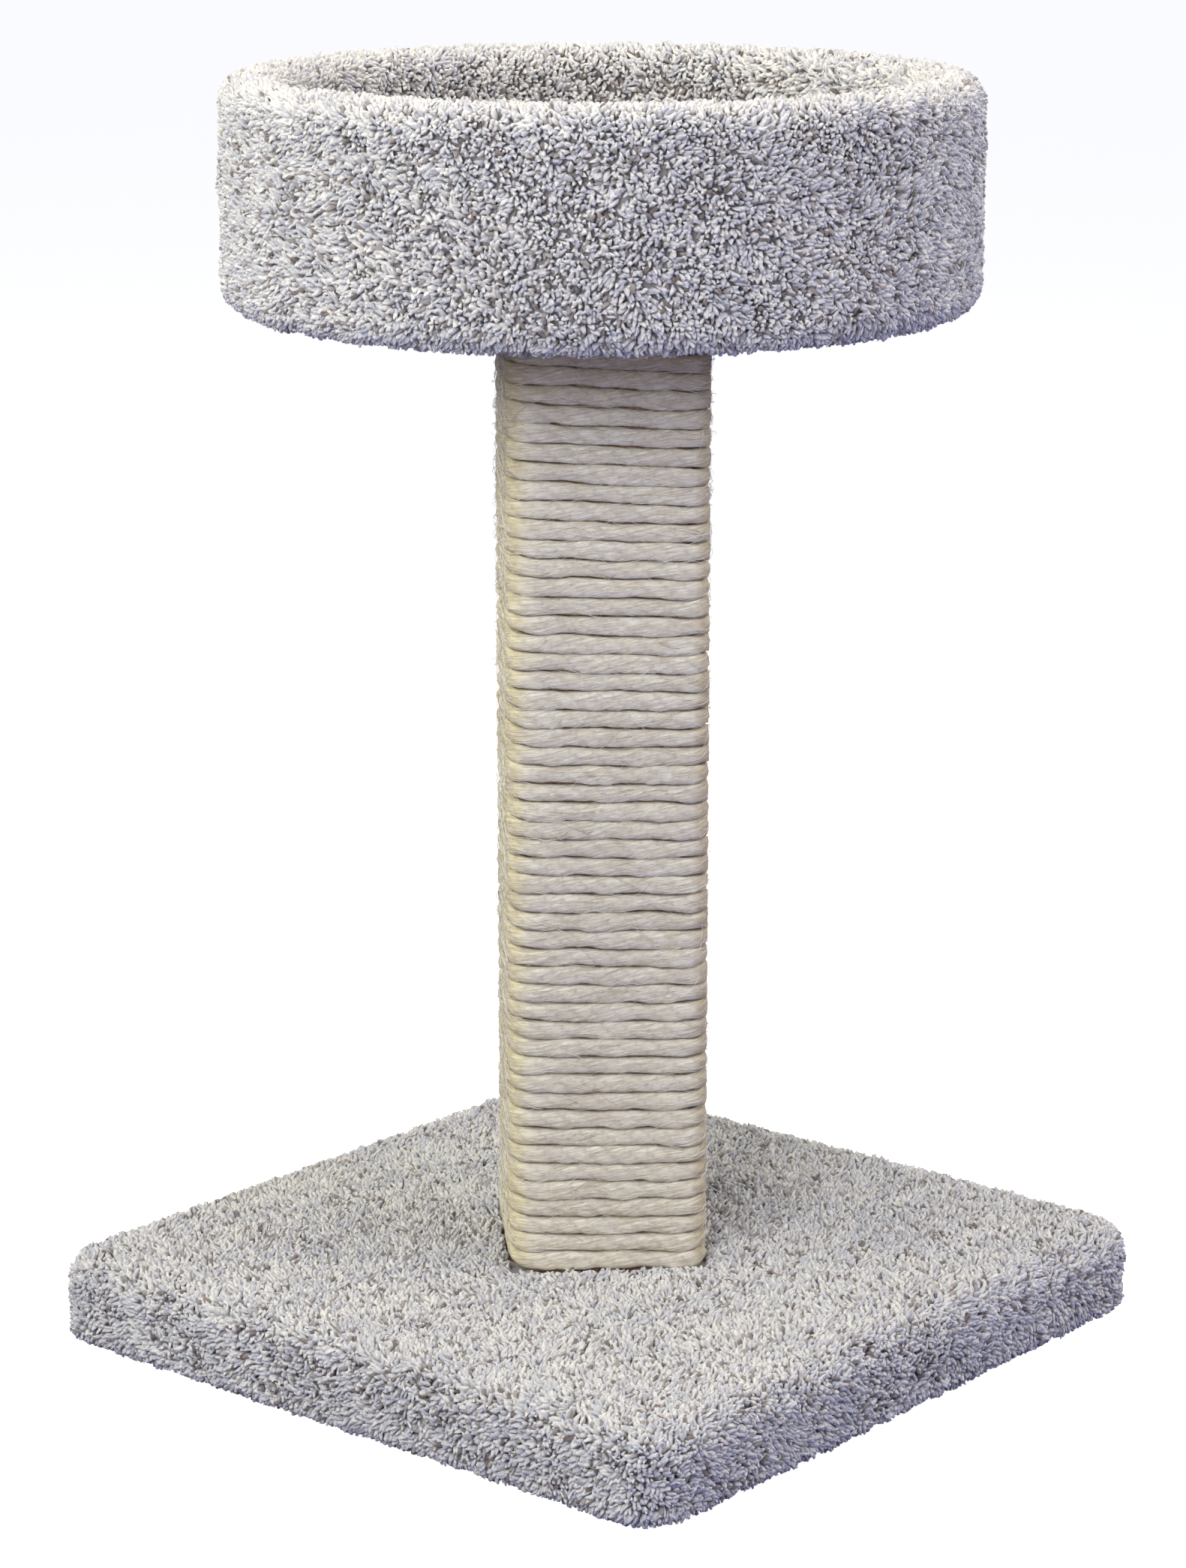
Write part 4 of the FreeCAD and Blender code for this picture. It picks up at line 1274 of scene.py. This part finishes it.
    def build_floor(self) -> Piece:
        """The pile of the round floor, a little clear of the lining.

        Returns:
            The piece.
        """
        tufts = Tufts(PILES[Cut.SHELTERED], 220)
        spots = tufts.field(self.lining)
        spots = spots[np.linalg.norm(spots, axis=1) < self.lining - 1.0 * MM]
        return tufts.level("bed_pile_floor", spots, self.floor + self.thick, UP, self.yarn)

    def build_hem(self) -> Piece:
        """The pile of the hem under the bed, drawn flat by its staples.

        Returns:
            The piece.
        """
        tufts = Tufts(PILES[Cut.PRESSED], 240)
        outside = self.radius - self.low_round
        radii = np.arange(self.hem_inside + 0.5 * tufts.step, outside, tufts.step)
        row, share = tufts.rows(TURN * radii)
        spots = circle(TURN * share) * radii[row][:, None]
        return tufts.level("bed_pile_hem", spots, self.bottom + HEM_TIPS, -UP, self.yarn)


# ---- rope


@dataclass
class RopeWinding:
    """Three-strand sisal rope wound round the square post, and the loose fibres on it.

    The middle line follows a square with rounded corners and climbs evenly. The upper turns also
    lie aslant: with q from 0 half-way up to 1 at the top, the height loses tilt * q^1.5 at one
    side of the post and gains it at the other. Across the rope, the section lies between a circle
    and a square, less a groove wherever two of the three strands meet. Where the rope is plump it
    is squarer and closes on its neighbours, and where it is thin a dark gap is left between turns.
    The strands turn once in each lay, which wanders along the rope. Loose fibres have lengths and
    lifts within fibre_lengths and fibre_lifts, and the share free_ends stand off at one end.
    """

    start: float
    end: float
    sisal: Material
    loose: Material
    turns: int = 51
    thick: float = 9.9 * MM
    side: float = 49.4 * MM
    bend: float = 11.4 * MM
    turn_of_post: float = math.pi / 4
    lay: float = 34 * MM
    groove: float = 0.07
    ring_step: float = 3.1 * MM
    ring_points: int = 16
    tilt: float = 2.4 * MM
    pressed: float = 12.0
    swell: float = 0.085
    fibres: int = 5200
    strays: float = 0.2
    free_ends: float = 0.35
    fibre_steps: int = 5
    fibre_lengths: Pair = (6 * MM, 60 * MM)
    fibre_lifts: Pair = (0.15 * MM, 3.2 * MM)
    lay_wander: Pair = (0.211, 0.0953)
    lump_lengths: Pair = (0.023, 0.0137)
    rise_wander: float = 0.22 * MM
    plump: Waves = field(default_factory=lambda: Waves(0.019, 31, 16))
    wander: Waves = field(default_factory=lambda: Waves(0.034, 32, 14))

    def round_length(self) -> float:
        """The length of one turn, seen from above."""
        return 8 * (self.side - self.bend) + TURN * self.bend

    def line(self, run: np.ndarray) -> Arrays:
        """The middle line and the outward directions along it.

        A turn starts at the middle of the far side and goes clockwise as seen from above.

        Args:
            run: The length along the rope, as seen from above.

        Returns:
            The points, and the level outward directions.
        """
        straight = 2 * (self.side - self.bend)
        quarter, part = np.divmod(run + straight / 2, straight + self.bend * math.pi / 2)
        bent = np.maximum(part - straight, 0) / self.bend
        along = np.minimum(part, straight) - straight / 2
        corner = self.side - self.bend
        x = np.where(part < straight, along, corner + self.bend * np.sin(bent))
        y = np.where(part < straight, self.side, corner + self.bend * np.cos(bent))
        turn = self.turn_of_post - quarter * math.pi / 2
        spots = turned(x, y, turn)
        facing = QUARTER - bent + turn
        outward = np.stack([np.cos(facing), np.sin(facing), np.zeros_like(facing)], axis=-1)
        share = run / (self.turns * self.round_length())
        low, high = self.start + self.thick / 2, self.end - self.thick / 2
        aslant = self.tilt * np.clip(2 * share - 1, 0, 1) ** 1.5
        across = (spots @ circle(self.turn_of_post)) / self.side
        height = low + (high - low) * share - aslant * across
        middle = np.column_stack([spots, height])
        middle[:, 2] += self.rise_wander * self.wander.value(middle)
        return middle, outward

    def section(
        self, run: np.ndarray, about: np.ndarray, plump: np.ndarray
    ) -> Arrays:
        """The rope's radius at a length along it and an angle round it.

        Args:
            run: The lengths, as a column.
            about: The angles, as a row.
            plump: How thick the rope is at each length, with a spread of about 1.

        Returns:
            The radii, and how near each point is to a strand's crown, from 0 to 1.
        """
        slow, quick = self.lay_wander
        wander = 0.5 * np.sin(run * TURN / slow) + 0.35 * np.sin(run * TURN / quick + 2.0)
        phase = about - TURN * run / self.lay + wander
        crown = 0.5 + 0.5 * np.cos(3 * phase)
        long, short = self.lump_lengths
        lumps = 0.02 * np.sin(2 * phase + run * TURN / long) * np.sin(run * TURN / short)
        full = np.clip(0.5 + 0.42 * plump, 0, 1)[:, None]
        power = self.pressed
        square = (np.abs(np.cos(about)) ** power + np.abs(np.sin(about)) ** power) ** (-1 / power)
        shape = 1 + (square - 1) * (0.25 + 0.75 * full)
        shape = shape * (1 + self.swell * (2 * full - 1) * np.sin(about) ** 2)
        return self.thick / 2 * shape * (1 - self.groove * (1 - crown) + lumps), crown

    def build(self) -> list[Piece]:
        """Make the winding in three pieces, and its loose fibres.

        Returns:
            The pieces.
        """
        total = self.turns * self.round_length()
        count = int(total / self.ring_step)
        pieces = []
        edges = np.linspace(0, count, 4).astype(int)
        for i, (first, last) in enumerate(zip(edges[:-1], edges[1:])):
            run = np.linspace(0, total, count + 1)[first : last + 1]
            pieces.append(self.stretch("sisal_winding_%s" % "abc"[i], run))
        return [*pieces, self.build_fibres(total)]

    def stretch(self, name: str, run: np.ndarray) -> Piece:
        """One stretch of the rope, closed at both ends.

        Args:
            name: The piece's name.
            run: The lengths along the rope at which its rings lie.

        Returns:
            The piece.
        """
        centre, outward = self.line(run)
        ways = unit(np.gradient(centre, axis=0))
        upward = unit(np.cross(outward, ways))
        upward *= np.sign(upward[:, 2:3])
        about = TURN * np.arange(self.ring_points) / self.ring_points
        radius, crown = self.section(run[:, None], about[None, :], self.plump.value(centre))
        points = rings_round(centre, outward, upward, radius, about).reshape(-1, 3)
        faces = tube_faces(1, len(run), self.ring_points, flip=True)
        piece = new_piece(name, points, faces, self.sisal)
        mark_points(piece, "strand", crown.ravel())
        self.map_rope(piece, run, about)
        LOG.info("%s: %d rings", name, len(run))
        return piece

    def map_rope(self, piece: Piece, run: np.ndarray, about: np.ndarray) -> None:
        """Give the rope's UV map the length along it and the way round it, in metres.

        Args:
            piece: The rope's piece.
            run: The length at each ring.
            about: The angle of each point on a ring.
        """
        mesh = piece.data
        corner = np.zeros(len(mesh.loops), np.int32)
        mesh.loops.foreach_get("vertex_index", corner)
        ring, place = np.divmod(corner, self.ring_points)
        starts = np.zeros(len(mesh.polygons), np.int32)
        mesh.polygons.foreach_get("loop_start", starts)
        sizes = np.diff(np.append(starts, len(corner)))
        face = np.repeat(np.arange(len(starts)), sizes)
        lowest = np.minimum.reduceat(place, starts)[face]
        highest = np.maximum.reduceat(place, starts)[face]
        wraps = (lowest == 0) & (highest == self.ring_points - 1) & (place == 0)
        across = (about[place] + TURN * wraps) * self.thick / 2
        layer = mesh.uv_layers.new(name="along_rope")
        spots = np.stack([run[ring], across], axis=1).astype(np.float32)
        layer.data.foreach_set("uv", spots.ravel())

    def build_fibres(self, total: float) -> Piece:
        """Thin fibres that have worked loose and curl along the turns.

        Each is a three-sided thread. With t from 0 to 1 along it, it runs along the rope by
        length * cos(angle) * (t - 1/2) and climbs across the turns by
        length * sin(angle) * (t - 1/2) plus a bow of t * (1 - t). It stands off the surface by
        lift * sin(pi t), or by lift * t^1.5 where one end is free.

        Args:
            total: The rope's whole length.

        Returns:
            The piece.
        """
        rng = np.random.default_rng(300)
        count, steps = self.fibres, self.fibre_steps
        t = np.linspace(0, 1, steps)[None, :]
        length = rng.gamma(3.0, 6.5 * MM, (count, 1)).clip(*self.fibre_lengths)
        middle = rng.uniform(0.02 * total, 0.98 * total, (count, 1))
        steep = rng.uniform(size=(count, 1)) < self.strays
        across, along = rng.uniform(-1.4, 1.4, (count, 1)), rng.normal(scale=0.2, size=(count, 1))
        angle = np.where(steep, across, along)
        run = middle + length * np.cos(angle) * (t - 0.5)
        centre, outward = self.line(run.ravel())
        rise = length * np.sin(angle) * (t - 0.5)
        rise += length * rng.normal(scale=0.35, size=(count, 1)) * t * (1 - t)
        lift = rng.gamma(2.0, 0.55 * MM, (count, 1)).clip(*self.fibre_lifts)
        free = rng.uniform(size=(count, 1)) < self.free_ends
        free_end = np.where(free, t**1.5, np.sin(math.pi * t))
        height = self.thick / 2 - 0.1 * MM + lift * free_end
        away = outward.reshape(count, steps, 3)
        middles = centre.reshape(count, steps, 3) + away * height[..., None]
        middles[..., 2] += rise + rng.uniform(-0.3, 0.3, (count, 1)) * self.thick
        middles[..., 2] = middles[..., 2].clip(self.start, self.end)
        thick = rng.uniform(0.09, 0.19, (count, 1)) * MM * (1 - 0.6 * t**2)
        spin = TURN * np.arange(3) / 3
        points = rings_round(middles, away, UP, thick[..., None], spin).reshape(-1, 3)
        faces = tube_faces(count, steps, 3, flip=True)
        piece = new_piece("sisal_loose_fibres", points, faces, self.loose)
        mark_points(piece, "tint", np.repeat(rng.uniform(size=count), steps * 3))
        return piece


# ---- wood and fixings


class Stock(Enum):
    """What the frame's own pieces are made of."""

    PLYWOOD = "plywood"
    TIMBER = "timber"
    BOARD = "wound board"
    STEEL = "zinc-plated steel"


@dataclass
class FrameDressing:
    """Finishes for the frame's own pieces, which keep their CAD shapes."""

    stock: dict[str, Stock] = field(
        default_factory=lambda: {
            "base_board_lower": Stock.PLYWOOD,
            "base_board_upper": Stock.PLYWOOD,
            "bowl_floor_board": Stock.PLYWOOD,
            "post_core": Stock.TIMBER,
            "bowl_wall_tube": Stock.BOARD,
        }
    )

    def finishes(self, effects: Effects) -> dict[Stock, Material]:
        """Make one material for each kind of stock.

        Args:
            effects: The shared node groups.

        Returns:
            The materials by stock.
        """
        upright = (0.0, QUARTER, 0.0)
        kinds = {
            Stock.PLYWOOD: WoodFinish(
                "birch_ply", rgb(0.62, 0.46, 0.30), rgb(0.36, 0.22, 0.12), ply=2.25 * MM
            ),
            Stock.TIMBER: WoodFinish(
                "pine", rgb(0.64, 0.45, 0.25), rgb(0.38, 0.20, 0.09), turn=upright
            ),
            Stock.BOARD: DyedFinish(
                "wound_board", rgb(0.42, 0.33, 0.24), rgb(0.27, 0.20, 0.14),
                (18.0, 0.4), (1500.0, 0.35), 0.85, (0.15 * MM, 0.6),
            ),
            Stock.STEEL: ZincFinish(),
        }
        return {stock: finish.make(effects) for stock, finish in kinds.items()}

    def dress(self, nodes: dict[str, Piece], effects: Effects) -> None:
        """Give every node of the frame its finish.

        Args:
            nodes: The frame's nodes by name.
            effects: The shared node groups.
        """
        finishes = self.finishes(effects)
        for name, node in nodes.items():
            stock = self.stock.get(name, Stock.STEEL)
            node.data.materials.clear()
            node.data.materials.append(finishes[stock])
            LOG.info("%s: %s", name, stock.value)


# ---- studio


@dataclass(frozen=True)
class Lamp:
    """A soft square lamp, placed by its angles in degrees from the camera's side of the object."""

    name: str
    aside: float
    above: float
    distance: float
    size: float
    power: float
    tone: tuple[float, float, float]


@dataclass
class Studio:
    """The camera, a pale floor and soft lights, none of which is part of the object."""

    eye: tuple[float, float, float] = (1.4865, -1.7771, 0.8843)
    target: tuple[float, float, float] = (-0.0035, -0.0030, 0.3084)
    lens: float = 100.96
    middle: float = 0.45
    floor_reach: float = 60.0
    floor_tone: float = 0.90
    floor_glow: float = 0.90
    bounce: Colour = rgb(0.12, 0.12, 0.30)
    low_sky: Colour = rgb(0.10, 0.12, 0.20)
    high_sky: Colour = rgb(0.05, 0.05, 0.07)
    lamps: tuple[Lamp, ...] = (
        Lamp("key", -80.0, 30.0, 1.5, 1.0, 13.4, (1.0, 0.99, 0.83)),
        Lamp("front", -22.0, 20.0, 1.9, 1.3, 30.5, (0.94, 0.96, 1.0)),
        Lamp("fill", 98.0, 28.0, 1.8, 1.2, 21.0, (1.0, 0.98, 0.85)),
        Lamp("low fill", 62.0, 12.0, 1.8, 1.0, 11.5, (0.72, 0.73, 1.0)),
        Lamp("above", -10.0, 80.0, 1.1, 0.8, 9.4, (1.0, 0.94, 0.87)),
        Lamp("back", 168.0, 16.0, 1.9, 1.2, 8.0, (1.0, 0.98, 0.96)),
    )

    def place_camera(self) -> None:
        """Set the camera where the photograph was taken from."""
        data = bpy.data.cameras.new("camera")
        data.sensor_width = 36.0
        data.lens = self.lens
        camera = bpy.data.objects.new("camera", data)
        camera.location = self.eye
        way = Vector(self.target) - Vector(self.eye)
        camera.rotation_euler = way.to_track_quat("-Z", "Y").to_euler()
        bpy.context.scene.collection.objects.link(camera)
        bpy.context.scene.camera = camera

    def place_lamps(self) -> None:
        """Hang the area lights, each at its angles from the camera's side of the object."""
        facing = math.atan2(self.eye[0], -self.eye[1])
        for lamp in self.lamps:
            data = bpy.data.lights.new(lamp.name, "AREA")
            data.energy, data.size, data.color = lamp.power, lamp.size, lamp.tone
            hung = bpy.data.objects.new(lamp.name, data)
            azimuth, height = facing + math.radians(lamp.aside), math.radians(lamp.above)
            level = math.cos(height)
            way = Vector((math.sin(azimuth) * level, -math.cos(azimuth) * level, math.sin(height)))
            hung.location = Vector((0, 0, self.middle)) + lamp.distance * way
            hung.rotation_euler = (-way).to_track_quat("-Z", "Y").to_euler()
            bpy.context.scene.collection.objects.link(hung)

    def lay_floor(self) -> None:
        """Lay the floor, which looks pale to the camera and throws little light back up."""
        mesh = bpy.data.meshes.new("floor")
        far = self.floor_reach
        corners = [(-far, -far, 0), (far, -far, 0), (far, far, 0), (-far, far, 0)]
        mesh.from_pydata(corners, [], [(0, 1, 2, 3)])
        paint = Paint("floor")
        seen = paint.add("LightPath").outputs["Is Camera Ray"]
        paint.surface({
            "Base Color": paint.blend(seen, self.bounce, even(self.floor_tone)),
            "Emission Color": paint.blend(seen, even(0.0), even(self.floor_glow)),
            "Emission Strength": 1.0, "Roughness": 1.0, "Specular IOR Level": 0.0,
        })
        mesh.materials.append(paint.material)
        floor = bpy.data.objects.new("floor", mesh)
        bpy.context.scene.collection.objects.link(floor)

    def fill_room(self) -> None:
        """Set the even light of the room, which is white where the camera sees it."""
        world = bpy.data.worlds.new("room")
        world.use_nodes = True
        nodes = Nodes(world.node_tree)
        background = world.node_tree.nodes["Background"]
        height = nodes.upward(nodes.add("TexCoord").outputs["Generated"])
        air = nodes.blend(nodes.span(height, -0.1, 0.95), self.low_sky, self.high_sky)
        seen = nodes.add("LightPath").outputs["Is Camera Ray"]
        nodes.feed(background.inputs["Color"], nodes.blend(seen, air, even(1.0)))
        bpy.context.scene.world = world
        bpy.context.scene.view_settings.view_transform = "Standard"

    def build(self) -> None:
        """Set the whole studio."""
        self.place_camera()
        self.place_lamps()
        self.lay_floor()
        self.fill_room()


# ---- the whole


def main() -> None:
    """Build the pieces in order, from the floor up."""
    logging.basicConfig(level=logging.INFO, format="%(name)s: %(message)s")
    effects = Effects(mottle_group(), grain_group())
    yarn = YarnFinish().make(effects)
    backing = DyedFinish(
        "carpet_backing", rgb(0.38, 0.35, 0.34), rgb(0.19, 0.165, 0.16),
        (30.0, 0.3), (700.0, 0.6), 0.95, (0.5 * MM, 0.8),
    ).make(effects)
    FrameDressing().dress(frame["nodes"], effects)

    _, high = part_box("base_carpet")
    base = BaseCover(high.x, high.z, yarn, backing)
    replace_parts(base.build()[0], "base_carpet")

    low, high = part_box("sisal_rope")
    sisal, loose = SisalFinish().make(effects), FibreFinish().make(effects)
    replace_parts(RopeWinding(low.z, high.z, sisal, loose).build()[0], "sisal_rope")

    low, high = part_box("bowl_wall_carpet")
    floor_low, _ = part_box("bowl_floor_carpet")
    bed = BedCover(high.x, low.z, high.z, floor_low.z, yarn, backing)
    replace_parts(bed.build()[0], "bowl_wall_carpet", "bowl_floor_carpet")

    Studio().build()


if __name__ == "__main__":
    main()
